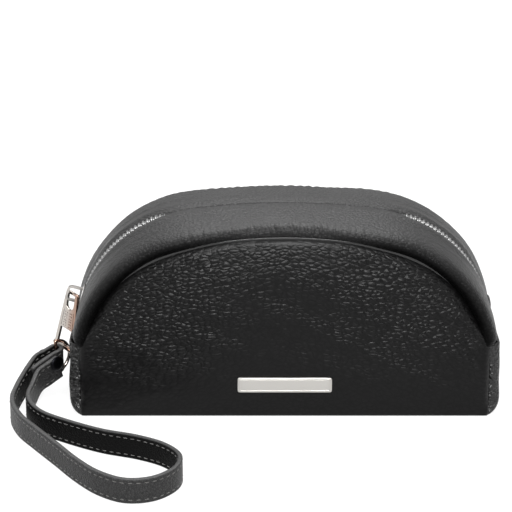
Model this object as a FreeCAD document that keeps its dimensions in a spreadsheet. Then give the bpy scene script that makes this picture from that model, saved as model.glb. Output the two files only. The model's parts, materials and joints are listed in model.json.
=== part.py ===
import FreeCAD, Part
import math
import os

import Sketcher

# A half-moon makeup bag in soft leather, with a zip over its top and a wrist strap.
# Millimetres. X runs along the bag, -Y is its front, +Z is up, and the origin is the
# centre of the base, on the surface that the bag stands on.

V = FreeCAD.Vector
doc = FreeCAD.newDocument("makeup_bag")

# ---------------------------------------------------------------- driving dimensions
SIZES = [
    ("half_width", 100.2, "front and back panels, from the middle to an end"),
    ("panel_apex", 92.2, "height of the front and back panels along their own slope"),
    ("panel_crown", 221.0, "radius of the panels' top edge"),
    ("panel_shoulder", 64.0, "radius of the panels' shoulders"),
    ("half_depth", 40.0, "middle of the base to the foot of the front panel"),
    ("panel_lean", 3.04, "angle that the front and back panels lean in, degrees"),
    ("leather", 2.0, "thickness of a body panel"),
    ("foam", 1.0, "thickness of the padding behind a panel"),
    ("cloth", 0.6, "thickness of the lining cloth"),
    ("seam_inset", 4.6, "panel edge to the edge of its padding and lining"),
    ("foot_gap", 4.3, "height at which the padding and lining start"),
    ("roof_half_width", 102.6, "roof strips, from the middle to an end"),
    ("roof_apex", 97.4, "height of the roof"),
    ("roof_crown", 380.0, "radius of the roof's top"),
    ("roof_shoulder", 64.0, "radius of the roof's shoulders, which the slider follows"),
    ("roof_leather", 1.6, "thickness of a roof strip"),
    ("roof_foot", 36.8, "height at which the roof strips meet the end panels"),
    ("roof_depth", 32.8, "middle of the bag to the roof strip's turned-down flange"),
    ("flange_inset", 4.0, "panel edge to the inner edge of the roof flange"),
    ("lip_gap", 4.9, "zip's middle to the edge of a roof strip"),
    ("end_height", 36.0, "height of an end panel to its folded top edge"),
    ("end_wall", 1.6, "thickness of an end panel"),
    ("end_bulge", 105.0, "outside of an end panel beside the front and back"),
    ("end_crease", 100.7, "outside of an end panel at its middle crease"),
    ("end_half_depth", 35.9, "middle of the bag to the outside of an end panel's flange"),
    ("end_flange", 99.4, "inner edge of an end panel's flanges"),
    ("base_half_width", 99.0, "base panel, from the middle to an end"),
    ("base_half_depth", 37.7, "base panel, from the middle to its front edge"),
    ("board", 1.4, "thickness of the base stiffener"),
    ("tape", 0.6, "thickness of the zip tape"),
    ("tape_outer", 14.0, "zip's middle to the sewn edge of a tape"),
    ("tape_inner", 2.9, "zip's middle to the beaded edge of a tape"),
    ("tooth_pitch", 2.5, "pitch of the teeth on one tape"),
    ("tooth_length", 1.3, "length of a tooth along the zip"),
    ("tooth_height", 2.2, "height of a tooth"),
    ("tooth_tip", 0.75, "zip's middle to a tooth's tip"),
    ("slider_angle", 15.4, "place of the closed slider above the shoulder centre, degrees"),
    ("slider_half_angle", 4.2, "half the slider's length, degrees of the shoulder"),
    ("slider_half_width", 4.2, "half the slider's width"),
    ("slider_plate", 1.2, "thickness of a slider plate"),
    ("bridge_height", 7.7, "slider's top face to the top of its bridge"),
    ("bridge_half_length", 4.1, "half the bridge's length along the zip"),
    ("bridge_strap", 1.1, "thickness of the bridge's metal"),
    ("bridge_width", 1.8, "width of the bridge across the zip"),
    ("pin_height", 4.4, "slider's top face to the puller's top bar"),
    ("puller_length", 29.5, "puller's top bar to its bottom bar"),
    ("puller_lean", 10.0, "angle that the puller hangs away from upright, degrees"),
    ("puller_twist", 44.0, "angle that the puller's face is turned to the front, degrees"),
    ("puller_plate", 1.4, "thickness of the puller"),
    ("puller_head", 4.2, "half the puller's width at the top"),
    ("puller_foot", 7.2, "half the puller's width at the bottom bar"),
    ("puller_bar", 2.4, "diameter of the puller's bottom bar"),
    ("puller_bar_half", 7.75, "half the length of the puller's bottom bar"),
    ("ring_wire", 1.8, "diameter of the ring's wire"),
    ("ring_radius", 8.5, "radius of the ring's bow, to the middle of its wire"),
    ("ring_reach", 5.6, "puller's bottom bar to the ring's straight side"),
    ("ring_drop", 2.4, "puller's bottom bar down to the ring's middle"),
    ("strap_width", 12.5, "width of the wrist strap, which stands on its edge"),
    ("strap_thickness", 2.5, "thickness of the wrist strap"),
    ("rivet_post", 3.0, "diameter of the strap rivet's post"),
    ("rivet_cap", 8.0, "diameter of the strap rivet's cap"),
    ("plate_length", 46.0, "name plate"),
    ("plate_height", 7.6, "name plate"),
    ("plate_thickness", 0.9, "name plate"),
    ("plate_level", 18.0, "height of the name plate's middle"),
]

sheet = doc.addObject("Spreadsheet::Sheet", "sizes")
for row, (alias, value, meaning) in enumerate(SIZES, start=1):
    sheet.set("A%d" % row, meaning)
    sheet.set("B%d" % row, str(value))
    sheet.setAlias("B%d" % row, alias)
doc.recompute()


def size(alias):
    """The number in a named cell."""
    return float(getattr(sheet, alias))


# ---------------------------------------------------------------- helpers
pieces = []


def new_body(label):
    body = doc.addObject("PartDesign::Body", label)
    body.Label = label
    pieces.append(body)
    return body


def keep(item, label):
    item.Label = label
    pieces.append(item)
    return item


def new_sketch(body, name, plane, geometry, offset=0.0):
    """A closed sketch on one of the body's own planes, moved along that plane's normal."""
    sketch = body.newObject("Sketcher::SketchObject", body.Label + "_" + name)
    support = [item for item in body.Origin.OriginFeatures if item.Role == plane][0]
    sketch.AttachmentSupport = [(support, "")]
    sketch.MapMode = "FlatFace"
    sketch.AttachmentOffset = FreeCAD.Placement(V(0, 0, offset), FreeCAD.Rotation())
    for edge in geometry:
        sketch.addGeometry(edge, False)
    join_ends(sketch)
    return sketch


def join_ends(sketch, tolerance=1e-4):
    """Tie each pair of edge ends that meet, so every outline is closed."""
    ends = []
    for index, edge in enumerate(sketch.Geometry):
        if hasattr(edge, "StartPoint"):
            ends.append((index, 1, edge.StartPoint))
            ends.append((index, 2, edge.EndPoint))
    for first in range(len(ends)):
        for second in range(first + 1, len(ends)):
            a, b = ends[first], ends[second]
            if a[0] != b[0] and a[2].distanceToPoint(b[2]) < tolerance:
                sketch.addConstraint(Sketcher.Constraint("Coincident", a[0], a[1], b[0], b[1]))


def bind(sketch, index, name, value, expression):
    """Give an arc or circle of the sketch a named radius from the sheet."""
    number = sketch.addConstraint(Sketcher.Constraint("Radius", index, value))
    sketch.renameConstraint(number, name)
    sketch.setExpression("Constraints." + name, expression)


def pad(body, sketch, length, back=False, middle=False):
    """Pad a sketch by a length given as an expression of the sheet's cells."""
    feature = body.newObject("PartDesign::Pad", sketch.Label + "_pad")
    feature.Profile = sketch
    feature.setExpression("Length", length)
    feature.Reversed = back
    feature.Midplane = middle
    body.Tip = feature
    return feature


def pocket(body, sketch, name):
    """Cut a sketch right through the body, both ways."""
    feature = body.newObject("PartDesign::Pocket", name)
    feature.Profile = sketch
    feature.Type = "ThroughAll"
    feature.Midplane = True
    body.Tip = feature
    return feature


def polygon(points):
    """Straight edges round a closed list of (x, y) points."""
    corners = [V(x, y, 0) for x, y in points]
    return [Part.LineSegment(a, b) for a, b in zip(corners, corners[1:] + corners[:1])]


def rectangle(x0, y0, x1, y1):
    return polygon([(x0, y0), (x1, y0), (x1, y1), (x0, y1)])


def arc(x, y, radius, start, end):
    """An arc about (x, y), anticlockwise between two angles in degrees."""
    circle = Part.Circle(V(x, y, 0), V(0, 0, 1), radius)
    return Part.ArcOfCircle(circle, math.radians(start), math.radians(end))


class Arch:
    """A half-moon outline: upright ends, round shoulders and a flatter crown, all tangent."""

    def __init__(self, half_width, apex, crown, shoulder):
        self.half_width = half_width
        self.crown = crown
        self.shoulder = shoulder
        self.centre_x = half_width - shoulder
        self.crown_z = apex - crown
        sine = self.centre_x / (crown - shoulder)
        self.turn = math.degrees(math.asin(sine))
        self.centre_z = self.crown_z + (crown - shoulder) * math.cos(math.radians(self.turn))

    def arcs(self, inset, low=0.0):
        """Right shoulder, crown and left shoulder, moved in by inset."""
        bend = self.shoulder - inset
        return [
            arc(self.centre_x, self.centre_z, bend, low, 90 - self.turn),
            arc(0, self.crown_z, self.crown - inset, 90 - self.turn, 90 + self.turn),
            arc(-self.centre_x, self.centre_z, bend, 90 + self.turn, 180 - low),
        ]

    def outline(self, inset, foot):
        """The whole closed outline, with its flat foot at a height of foot."""
        side = self.half_width - inset
        corners = [V(-side, self.centre_z, 0), V(-side, foot, 0), V(side, foot, 0), V(side, self.centre_z, 0)]
        lines = [Part.LineSegment(a, b) for a, b in zip(corners, corners[1:])]
        return self.arcs(inset) + lines

    def low_angle(self, level):
        """Angle above the shoulder centre at which the outline passes a height."""
        return math.degrees(math.asin((level - self.centre_z) / self.shoulder))

    def band(self, outer, inner, low):
        """A strip between two insets, ending at an angle above the shoulder centres."""
        outside = self.arcs(outer, low)
        inside = self.arcs(inner, low)
        right = Part.LineSegment(outside[0].StartPoint, inside[0].StartPoint)
        left = Part.LineSegment(outside[2].EndPoint, inside[2].EndPoint)
        return outside + inside + [right, left]


panel = Arch(size("half_width"), size("panel_apex"), size("panel_crown"), size("panel_shoulder"))
roof = Arch(size("roof_half_width"), size("roof_apex"), size("roof_crown"), size("roof_shoulder"))

# The XZ plane of a body looks along -Y, so a pad grows towards the front.
FRONT = FreeCAD.Rotation()
BACK = FreeCAD.Rotation(V(0, 0, 1), 180)
SIDES = [("front", FRONT), ("back", BACK)]


def leaning(turn):
    """Placement whose local Y = 0 is the inner face of the leaning front or back panel."""
    lean = FreeCAD.Rotation(V(1, 0, 0), -size("panel_lean"))
    foot = V(0, size("leather") - size("half_depth"), 0)
    return FreeCAD.Placement(turn.multVec(foot), turn * lean)


# ---------------------------------------------------------------- bag shell
PRONG_X = 16.0      # name plate's middle to each prong
PRONG_WIDTH = 3.0
PRONG_THICKNESS = 0.6


def prong_slots(body):
    """Slots that let the name plate's prongs through a panel or its padding."""
    geometry = []
    level = size("plate_level")
    for centre in (-PRONG_X, PRONG_X):
        geometry += rectangle(
            centre - PRONG_WIDTH / 2, level - PRONG_THICKNESS / 2,
            centre + PRONG_WIDTH / 2, level + PRONG_THICKNESS / 2)
    pocket(body, new_sketch(body, "slots", "XZ_Plane", geometry), body.Label + "_prong_slots")


def arch_plate(label, turn, inset, foot, start, thickness, slotted=False):
    """A flat half-moon layer of a leaning panel, start millimetres in from its inner face."""
    body = new_body(label)
    sketch = new_sketch(body, "outline", "XZ_Plane", panel.outline(inset, foot), -start)
    bind(sketch, 1, "crown", size("panel_crown") - inset, "sizes.panel_crown - %g" % inset)
    bind(sketch, 0, "shoulder", size("panel_shoulder") - inset, "sizes.panel_shoulder - %g" % inset)
    pad(body, sketch, thickness, back=start > 0 or inset > 0)
    if slotted:
        prong_slots(body)
    body.Placement = leaning(turn)
    return body


LINING_GAP = 0.6    # room for the name plate's washers between padding and lining

for side, turn in SIDES:
    inset, foot = size("seam_inset"), size("foot_gap")
    arch_plate(side + "_panel", turn, 0.0, 0.0, 0.0, "sizes.leather", slotted=side == "front")
    arch_plate(side + "_padding", turn, inset, foot, 0.0, "sizes.foam", slotted=side == "front")
    start = size("foam") + LINING_GAP
    arch_plate(side + "_lining", turn, inset, foot, start, "sizes.cloth")


def base_layer(label, inset, low, thickness):
    """A flat rectangular layer of the base."""
    body = new_body(label)
    half_x = size("base_half_width") - inset
    half_y = size("base_half_depth") - inset
    sketch = new_sketch(body, "outline", "XY_Plane", rectangle(-half_x, -half_y, half_x, half_y), low)
    pad(body, sketch, thickness)
    return body


BOARD_INSET = 3.6
base_layer("base_panel", 0.0, 0.0, "sizes.leather")
base_layer("base_stiffener", BOARD_INSET, size("leather"), "sizes.board")
base_layer("base_lining", BOARD_INSET, size("leather") + size("board"), "sizes.cloth")


def end_panel(label, sign):
    """An end panel: a wall creased inwards at its middle, with a flange sewn behind each panel."""
    outer = size("end_bulge")
    crease = size("end_crease")
    wall = size("end_wall")
    depth = size("end_half_depth")
    flange = size("end_flange")
    points = [
        (flange, -depth), (outer, -depth), (crease, 0), (outer, depth), (flange, depth),
        (flange, depth - wall), (outer - wall, depth - wall), (crease - wall, 0),
        (outer - wall, wall - depth), (flange, wall - depth),
    ]
    body = new_body(label)
    sketch = new_sketch(body, "plan", "XY_Plane", polygon([(sign * x, y) for x, y in points]))
    pad(body, sketch, "sizes.end_height")
    return body


end_panel("left_end_panel", -1)
end_panel("right_end_panel", 1)

END_LINING_GAP = 0.5
for label, sign in (("left_end_lining", -1), ("right_end_lining", 1)):
    lining = doc.addObject("Part::Box", label)
    lining.setExpression("Length", "sizes.cloth")
    lining.setExpression("Width", "2 * (sizes.end_half_depth - sizes.end_wall) - 2")
    lining.setExpression("Height", "sizes.end_height - sizes.foot_gap - 2")
    near = size("end_flange") - END_LINING_GAP
    left = near - size("cloth") if sign > 0 else -near
    half = size("end_half_depth") - size("end_wall") - 1
    lining.Placement = FreeCAD.Placement(V(left, -half, size("foot_gap")), FreeCAD.Rotation())
    keep(lining, label)

# ---------------------------------------------------------------- roof strips and their lining
roof_low = roof.low_angle(size("roof_foot"))


def roof_strip(label, turn):
    """One leather strip of the roof with the flange that is sewn behind the panel's edge."""
    body = new_body(label)
    strip = new_sketch(
        body, "strip", "XZ_Plane", roof.band(0, size("roof_leather"), roof_low), size("lip_gap"))
    bind(strip, 0, "shoulder", size("roof_shoulder"), "sizes.roof_shoulder")
    bind(strip, 1, "crown", size("roof_crown"), "sizes.roof_crown")
    pad(body, strip, "sizes.roof_depth - sizes.lip_gap")
    outside = roof.arcs(0, roof_low)
    inside = panel.arcs(size("flange_inset"), panel_flange_low)
    right = Part.LineSegment(outside[0].StartPoint, inside[0].StartPoint)
    left = Part.LineSegment(outside[2].EndPoint, inside[2].EndPoint)
    flange_start = size("roof_depth") - size("roof_leather")
    flange = new_sketch(body, "flange", "XZ_Plane", outside + inside + [right, left], flange_start)
    pad(body, flange, "sizes.roof_leather")
    body.Placement = FreeCAD.Placement(V(0, 0, 0), turn)
    return body


panel_flange_low = math.degrees(
    math.asin((size("roof_foot") - panel.centre_z) / (size("panel_shoulder") - size("flange_inset"))))
ROOF_LINING_DEPTH = 5.0     # roof's outside to its lining, which leaves room for the slider
ROOF_LINING_LIP = 6.0       # zip's middle to the lining's edge
ROOF_LINING_BACK = 30.0     # middle of the bag to the lining's sewn edge
BINDING_START = 30.1
BINDING_BACK = 31.1
BINDING_OUTER = 1.0         # panel edge to the binding's outer edge
BINDING_INNER = 4.4


def strip_between(label, arch, outer, inner, low, near, far, turn):
    """A curved strip between two insets of an arch and between two distances from the middle."""
    body = new_body(label)
    sketch = new_sketch(body, "section", "XZ_Plane", arch.band(outer, inner, low), near)
    pad(body, sketch, "%g" % (far - near))
    body.Placement = FreeCAD.Placement(V(0, 0, 0), turn)
    return body


for side, turn in SIDES:
    roof_strip("roof_strip_" + side, turn)
    depth = ROOF_LINING_DEPTH
    strip_between("roof_lining_" + side, roof, depth, depth + size("cloth"), roof_low,
                  ROOF_LINING_LIP, ROOF_LINING_BACK, turn)
    strip_between("seam_binding_" + side, panel, BINDING_OUTER, BINDING_INNER, panel_flange_low,
                  BINDING_START, BINDING_BACK, turn)

# ---------------------------------------------------------------- zip
TAPE_TOP = size("roof_leather")
tape_middle = TAPE_TOP + size("tape") / 2
STOP_LENGTH = 2.4
slider_turn = size("slider_angle")
slider_half = size("slider_half_angle")

for side, turn in SIDES:
    strip_between("zip_tape_" + side, roof, TAPE_TOP, TAPE_TOP + size("tape"), roof_low,
                  size("tape_inner"), size("tape_outer"), turn)


def roof_place(along):
    """Point and outward angle on the zip's line, along it from the closed slider's place."""
    bend = size("roof_shoulder") - tape_middle
    flat = size("roof_crown") - tape_middle
    shoulder_angle = 90 - roof.turn - slider_turn
    shoulder_length = math.radians(shoulder_angle) * bend
    crown_length = math.radians(2 * roof.turn) * flat
    if along <= shoulder_length:
        angle = 180 - slider_turn - math.degrees(along / bend)
        centre = V(-roof.centre_x, 0, roof.centre_z)
        radius = bend
    elif along <= shoulder_length + crown_length:
        angle = 90 + roof.turn - math.degrees((along - shoulder_length) / flat)
        centre = V(0, 0, roof.crown_z)
        radius = flat
    else:
        angle = 90 - roof.turn - math.degrees((along - shoulder_length - crown_length) / bend)
        centre = V(roof.centre_x, 0, roof.centre_z)
        radius = bend
    turn = math.radians(angle)
    outward = V(math.cos(turn), 0, math.sin(turn))
    return centre + outward * radius, outward


zip_length = (2 * math.radians(90 - roof.turn - slider_turn) * (size("roof_shoulder") - tape_middle)
              + math.radians(2 * roof.turn) * (size("roof_crown") - tape_middle))
TOOTH_FOOT = 2.8        # zip's middle to the back of a tooth, against the tape's edge


def zip_block(along, length, height, near, far):
    """A block square to the zip's line, between two distances from the zip's middle."""
    place, outward = roof_place(along)
    tangent = V(outward.z, 0, -outward.x)
    block = Part.makeBox(length, far - near, height)
    block.translate(V(-length / 2, near, -height / 2))
    matrix = FreeCAD.Matrix(
        tangent.x, 0, outward.x, place.x,
        0, 1, 0, 0,
        tangent.z, 0, outward.z, place.z,
        0, 0, 0, 1)
    return block.transformed(matrix)


def tooth_row(label, sign, shift):
    """The teeth of one tape: blocks at an even pitch, half a pitch out from the other row."""
    count = int((zip_length - shift) / size("tooth_pitch"))
    near, far = sorted((sign * size("tooth_tip"), sign * TOOTH_FOOT))
    blocks = [
        zip_block(shift + step * size("tooth_pitch"), size("tooth_length"), size("tooth_height"), near, far)
        for step in range(count)
    ]
    row = doc.addObject("Part::Feature", label)
    row.Shape = Part.makeCompound(blocks)
    return keep(row, label)


tooth_row("zip_teeth_front", -1, size("tooth_pitch") / 2)
tooth_row("zip_teeth_back", 1, size("tooth_pitch"))

STOP_HEIGHT = 2.2
slider_reach = math.radians(slider_half) * (size("roof_shoulder") - tape_middle)
top_stops = doc.addObject("Part::Feature", "zip_top_stops")
top_stops.Shape = Part.makeCompound([
    zip_block(-slider_reach - STOP_LENGTH, STOP_LENGTH, STOP_HEIGHT, -TOOTH_FOOT, -size("tooth_tip")),
    zip_block(-slider_reach - STOP_LENGTH, STOP_LENGTH, STOP_HEIGHT, size("tooth_tip"), TOOTH_FOOT),
])
keep(top_stops, "zip_top_stops")
bottom_stop = doc.addObject("Part::Feature", "zip_bottom_stop")
bottom_stop.Shape = zip_block(zip_length + STOP_LENGTH, STOP_LENGTH, STOP_HEIGHT, -TOOTH_FOOT, TOOTH_FOOT)
keep(bottom_stop, "zip_bottom_stop")

# ---------------------------------------------------------------- slider
SLIDER_GAP = 0.3        # clearance between the slider's plates and the teeth
FLANGE_WIDTH = 0.8
FLANGE_DROP = 0.8
NECK_HALF_ANGLE = 0.9
plate_top = tape_middle - size("tooth_height") / 2 - SLIDER_GAP
plate_under = tape_middle + size("tooth_height") / 2 + SLIDER_GAP


def slider_block(body, name, outer, inner, start, end, near, far):
    """A curved block of the slider, which follows the shoulder's arc."""
    radius = size("roof_shoulder")
    low = 180 - end
    high = 180 - start
    outside = arc(-roof.centre_x, roof.centre_z, radius - outer, low, high)
    inside = arc(-roof.centre_x, roof.centre_z, radius - inner, low, high)
    first = Part.LineSegment(outside.StartPoint, inside.StartPoint)
    last = Part.LineSegment(outside.EndPoint, inside.EndPoint)
    sketch = new_sketch(body, name, "XZ_Plane", [outside, inside, first, last], near)
    pad(body, sketch, "%g" % (far - near))


slider = new_body("slider_body")
top_outer = plate_top - size("slider_plate")
under_inner = plate_under + size("slider_plate")
slider_low = slider_turn - slider_half
slider_high = slider_turn + slider_half
half_slider = size("slider_half_width")
slider_block(slider, "top", top_outer, plate_top, slider_low, slider_high, -half_slider, half_slider)
neck_low = slider_high - 3 * NECK_HALF_ANGLE
slider_block(slider, "neck", plate_top, plate_under, neck_low, slider_high - NECK_HALF_ANGLE, -0.4, 0.4)
slider_block(slider, "under", plate_under, under_inner, slider_low, slider_high, -half_slider, half_slider)
for near in (-half_slider, half_slider - FLANGE_WIDTH):
    name = "front" if near > 0 else "back"
    far = near + FLANGE_WIDTH
    slider_block(slider, name + "_upper", plate_top, plate_top + FLANGE_DROP,
                 slider_low, slider_high, near, far)
    slider_block(slider, name + "_lower", plate_under - FLANGE_DROP, plate_under,
                 slider_low, slider_high, near, far)

slider_angle = math.radians(180 - slider_turn)
slider_out = V(math.cos(slider_angle), 0, math.sin(slider_angle))
shoulder_centre = V(-roof.centre_x, 0, roof.centre_z)
slider_top = shoulder_centre + slider_out * (size("roof_shoulder") - top_outer)
slider_rotation = FreeCAD.Rotation(V(0, 1, 0), slider_turn - 90)

BRIDGE_BEND = 2.6       # radius of the bridge's outer corners
BRIDGE_SEAT = 0.05      # arc of the slider's top under the bridge's flat feet


def arch_frame(half, height, bend, foot):
    """Outer edge of a flat-footed frame with two round top corners, as open edges."""
    return [
        Part.LineSegment(V(half, foot, 0), V(half, height - bend, 0)),
        arc(half - bend, height - bend, bend, 0, 90),
        Part.LineSegment(V(half - bend, height, 0), V(bend - half, height, 0)),
        arc(bend - half, height - bend, bend, 90, 180),
        Part.LineSegment(V(-half, height - bend, 0), V(-half, foot, 0)),
    ]


bridge = new_body("slider_bridge")
strap = size("bridge_strap")
outer_half = size("bridge_half_length")
outer_edges = arch_frame(outer_half, size("bridge_height"), BRIDGE_BEND, BRIDGE_SEAT)
inner_edges = arch_frame(outer_half - strap, size("bridge_height") - strap, BRIDGE_BEND - strap, BRIDGE_SEAT)
feet = [
    Part.LineSegment(V(outer_half, BRIDGE_SEAT, 0), V(outer_half - strap, BRIDGE_SEAT, 0)),
    Part.LineSegment(V(strap - outer_half, BRIDGE_SEAT, 0), V(-outer_half, BRIDGE_SEAT, 0)),
]
bridge_sketch = new_sketch(bridge, "side", "XZ_Plane", outer_edges + inner_edges + feet)
pad(bridge, bridge_sketch, "sizes.bridge_width", middle=True)
bridge.Placement = FreeCAD.Placement(slider_top, slider_rotation)

# ---------------------------------------------------------------- puller
pin = slider_top + slider_out * size("pin_height")
lean = math.radians(size("puller_lean"))
hang = V(-math.sin(lean), 0, -math.cos(lean))
# The puller's own frame: X across it, Z up its length, Y out of its face.
puller_turn = FreeCAD.Rotation(V(0, 1, 0), size("puller_lean")) * FreeCAD.Rotation(
    V(0, 0, 1), -90 + size("puller_twist"))
puller_place = FreeCAD.Placement(pin, puller_turn)

PIN_DIAMETER = 1.4
HEAD_WINDOW = 9.0       # puller's top bar to the bottom of its head window
HEAD_WINDOW_HALF = 2.6
FOOT_WINDOW_TOP = 19.5
FOOT_WINDOW_HALF = 4.2
FOOT_WINDOW_SIDE = 5.0
puller = new_body("zip_puller")
length = size("puller_length")
head = size("puller_head")
foot_half = size("puller_foot")
outline = polygon([(-head, 0), (-foot_half, -length), (foot_half, -length), (head, 0)])
puller_sketch = new_sketch(puller, "outline", "XZ_Plane", outline)
pad(puller, puller_sketch, "sizes.puller_plate", middle=True)
bar_gap = PIN_DIAMETER / 2 - 0.1
window_half = HEAD_WINDOW_HALF
window_spring = HEAD_WINDOW_HALF - HEAD_WINDOW
head_window = [
    Part.LineSegment(V(-window_half, -bar_gap, 0), V(-window_half, window_spring, 0)),
    arc(0, window_spring, window_half, 180, 360),
    Part.LineSegment(V(window_half, window_spring, 0), V(window_half, -bar_gap, 0)),
    Part.LineSegment(V(window_half, -bar_gap, 0), V(-window_half, -bar_gap, 0)),
]
foot_end = length - size("puller_bar") / 2 + 0.2
foot_window = polygon([
    (-FOOT_WINDOW_HALF, -FOOT_WINDOW_TOP), (-FOOT_WINDOW_SIDE, -foot_end),
    (FOOT_WINDOW_SIDE, -foot_end), (FOOT_WINDOW_HALF, -FOOT_WINDOW_TOP)])
windows = new_sketch(puller, "windows", "XZ_Plane", head_window + foot_window)
pocket(puller, windows, "puller_windows")


def puller_bar(name, level, diameter, half):
    """A round bar across the puller."""
    circle = Part.Circle(V(0, level, 0), V(0, 0, 1), diameter / 2)
    sketch = new_sketch(puller, name, "YZ_Plane", [circle])
    pad(puller, sketch, "%g" % (2 * half), middle=True)


puller_bar("pin", 0, PIN_DIAMETER, head)
puller_bar("bar", -length, size("puller_bar"), size("puller_bar_half"))
puller.Placement = puller_place
bar_centre = pin + hang * length

# ---------------------------------------------------------------- ring
across = puller_turn.multVec(V(1, 0, 0))
outward_turn = puller_turn.multVec(V(0, -1, 0))
flat = V(outward_turn.x, outward_turn.y, 0)
flat.normalize()
ring_middle = bar_centre + flat * size("ring_reach") - V(0, 0, size("ring_drop"))
ring_radius = size("ring_radius")
ring_side = V(0, 0, ring_radius)
wire = size("ring_wire") / 2
straight = Part.makeCylinder(wire, 2 * ring_radius, ring_middle - ring_side, V(0, 0, 1))
bow = Part.makeTorus(ring_radius, wire)
reach = 2 * ring_radius
bow = bow.common(Part.makeBox(reach, 2 * reach, reach, V(-reach, -reach, -ring_radius)))
upright = V(0, 0, 1)
bow.Placement = FreeCAD.Placement(ring_middle, FreeCAD.Rotation(flat, upright, flat.cross(upright), "XYZ"))
corners = [Part.makeSphere(wire, ring_middle + ring_side), Part.makeSphere(wire, ring_middle - ring_side)]
ring = doc.addObject("Part::Feature", "strap_ring")
ring.Shape = straight.fuse([bow] + corners).removeSplitter()
keep(ring, "strap_ring")

# ---------------------------------------------------------------- wrist strap
FOLD_CLEARANCE = 0.35   # ring's wire to the inside of the strap's fold
LAYER_GAP = 0.15        # between the strap's layers where the rivet holds them
TAIL_LENGTH = 16.0      # ring to the cut end of the folded tail
SLOPE_START = -3.0      # the strap comes down from the ring between these two places
SLOPE_END = -34.0
half_strap = size("strap_thickness") / 2
fold = size("ring_wire") / 2 + FOLD_CLEARANCE + half_strap
beside = V(-flat.y, flat.x, 0)      # across the ring, to its right and front
ring_foot = V(ring_middle.x, ring_middle.y, 0)
inner_layer = fold + size("strap_thickness") + LAYER_GAP


def strap_point(along, sideways):
    """A point in plan, measured from the ring's straight side."""
    return ring_foot + flat * along + beside * sideways


# The strap's middle line in plan, from its folded tail, round the ring and the loop, to its end.
loop = [
    (-131.5, -28), (-132.5, -44), (-127.5, -60), (-118.5, -74.5), (-107.5, -91), (-97, -107),
    (-86, -120), (-73.5, -127.5), (-60.5, -125.5), (-51, -115.5), (-49.5, -103), (-57, -92),
    (-70, -84), (-87, -77.5), (-104, -67.5), (-116.5, -58), (-123, -48), (-125.5, -37), (-124, -26.5),
]
route = [strap_point(TAIL_LENGTH, fold), strap_point(-fold, fold), strap_point(-fold, -fold),
         strap_point(15, -fold)]
route += [V(x, y, 0) for x, y in loop]
route += [strap_point(15, inner_layer), strap_point(0, inner_layer)]


def rounded_path(points, tight):
    """Straight runs joined by tangent arcs; the first tight corners take the fold's own radius."""
    edges = []
    last = points[0]
    for index in range(1, len(points) - 1):
        before = points[index - 1] - points[index]
        after = points[index + 1] - points[index]
        turn = math.pi - before.getAngle(after)
        reach = fold * math.tan(turn / 2) if index <= tight else 0.45 * min(before.Length, after.Length)
        radius = reach / math.tan(turn / 2)
        before.normalize()
        after.normalize()
        start = points[index] + before * reach
        end = points[index] + after * reach
        bisector = before + after
        bisector.normalize()
        centre_reach = math.hypot(radius, reach)
        middle = points[index] + bisector * (centre_reach - radius)
        if (start - last).Length > 1e-6:
            edges.append(Part.LineSegment(last, start).toShape())
        edges.append(Part.Arc(start, middle, end).toShape())
        last = end
    edges.append(Part.LineSegment(last, points[-1]).toShape())
    return Part.Wire(edges)


path = rounded_path(route, 2)
strap_low = ring_middle.z - size("strap_width") / 2
tall = ring_middle.z + size("strap_width") / 2
corner = strap_point(TAIL_LENGTH, fold)
section = Part.makePolygon([
    corner - beside * half_strap, corner + beside * half_strap,
    corner + beside * half_strap + V(0, 0, tall), corner - beside * half_strap + V(0, 0, tall),
    corner - beside * half_strap])
band = Part.BRepOffsetAPI.MakePipeShell(path)
band.add(section)
band.build()
band.makeSolid()
REACH = 300.0       # longer than the strap's plan
side_view = Part.makePolygon([
    V(-REACH, -REACH, 0), V(-REACH, SLOPE_END, 0), V(-REACH, SLOPE_START, strap_low),
    V(-REACH, REACH, strap_low), V(-REACH, REACH, tall), V(-REACH, SLOPE_START, tall),
    V(-REACH, SLOPE_END, size("strap_width")), V(-REACH, -REACH, size("strap_width")),
    V(-REACH, -REACH, 0)])
side_prism = Part.Face(side_view).extrude(V(2 * REACH, 0, 0))

RIVET_ALONG = 5.0
RIVET_DROP = 1.5
CAP_THICKNESS = 1.2
cap_low = -fold - half_strap
cap_high = inner_layer + half_strap
rivet_turn = FreeCAD.Rotation(V(0, 0, 1), beside)
rivet_start = strap_point(RIVET_ALONG, cap_low) + V(0, 0, ring_middle.z - RIVET_DROP)
rivet_hole = Part.makeCylinder(size("rivet_post") / 2, cap_high - cap_low, rivet_start, beside)
wrist_strap = doc.addObject("Part::Feature", "wrist_strap")
wrist_strap.Shape = band.shape().common(side_prism).cut(rivet_hole)
keep(wrist_strap, "wrist_strap")


def disc(label, place, diameter, height):
    cylinder = doc.addObject("Part::Cylinder", label)
    cylinder.setExpression("Radius", diameter + " / 2")
    cylinder.Height = height
    cylinder.Placement = FreeCAD.Placement(place, rivet_turn)
    return keep(cylinder, label)


disc("strap_rivet_post", rivet_start, "sizes.rivet_post", cap_high - cap_low)
disc("strap_rivet_back", rivet_start - beside * CAP_THICKNESS, "sizes.rivet_cap", CAP_THICKNESS)
disc("strap_rivet_cap", rivet_start + beside * (cap_high - cap_low), "sizes.rivet_cap", CAP_THICKNESS)

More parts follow.
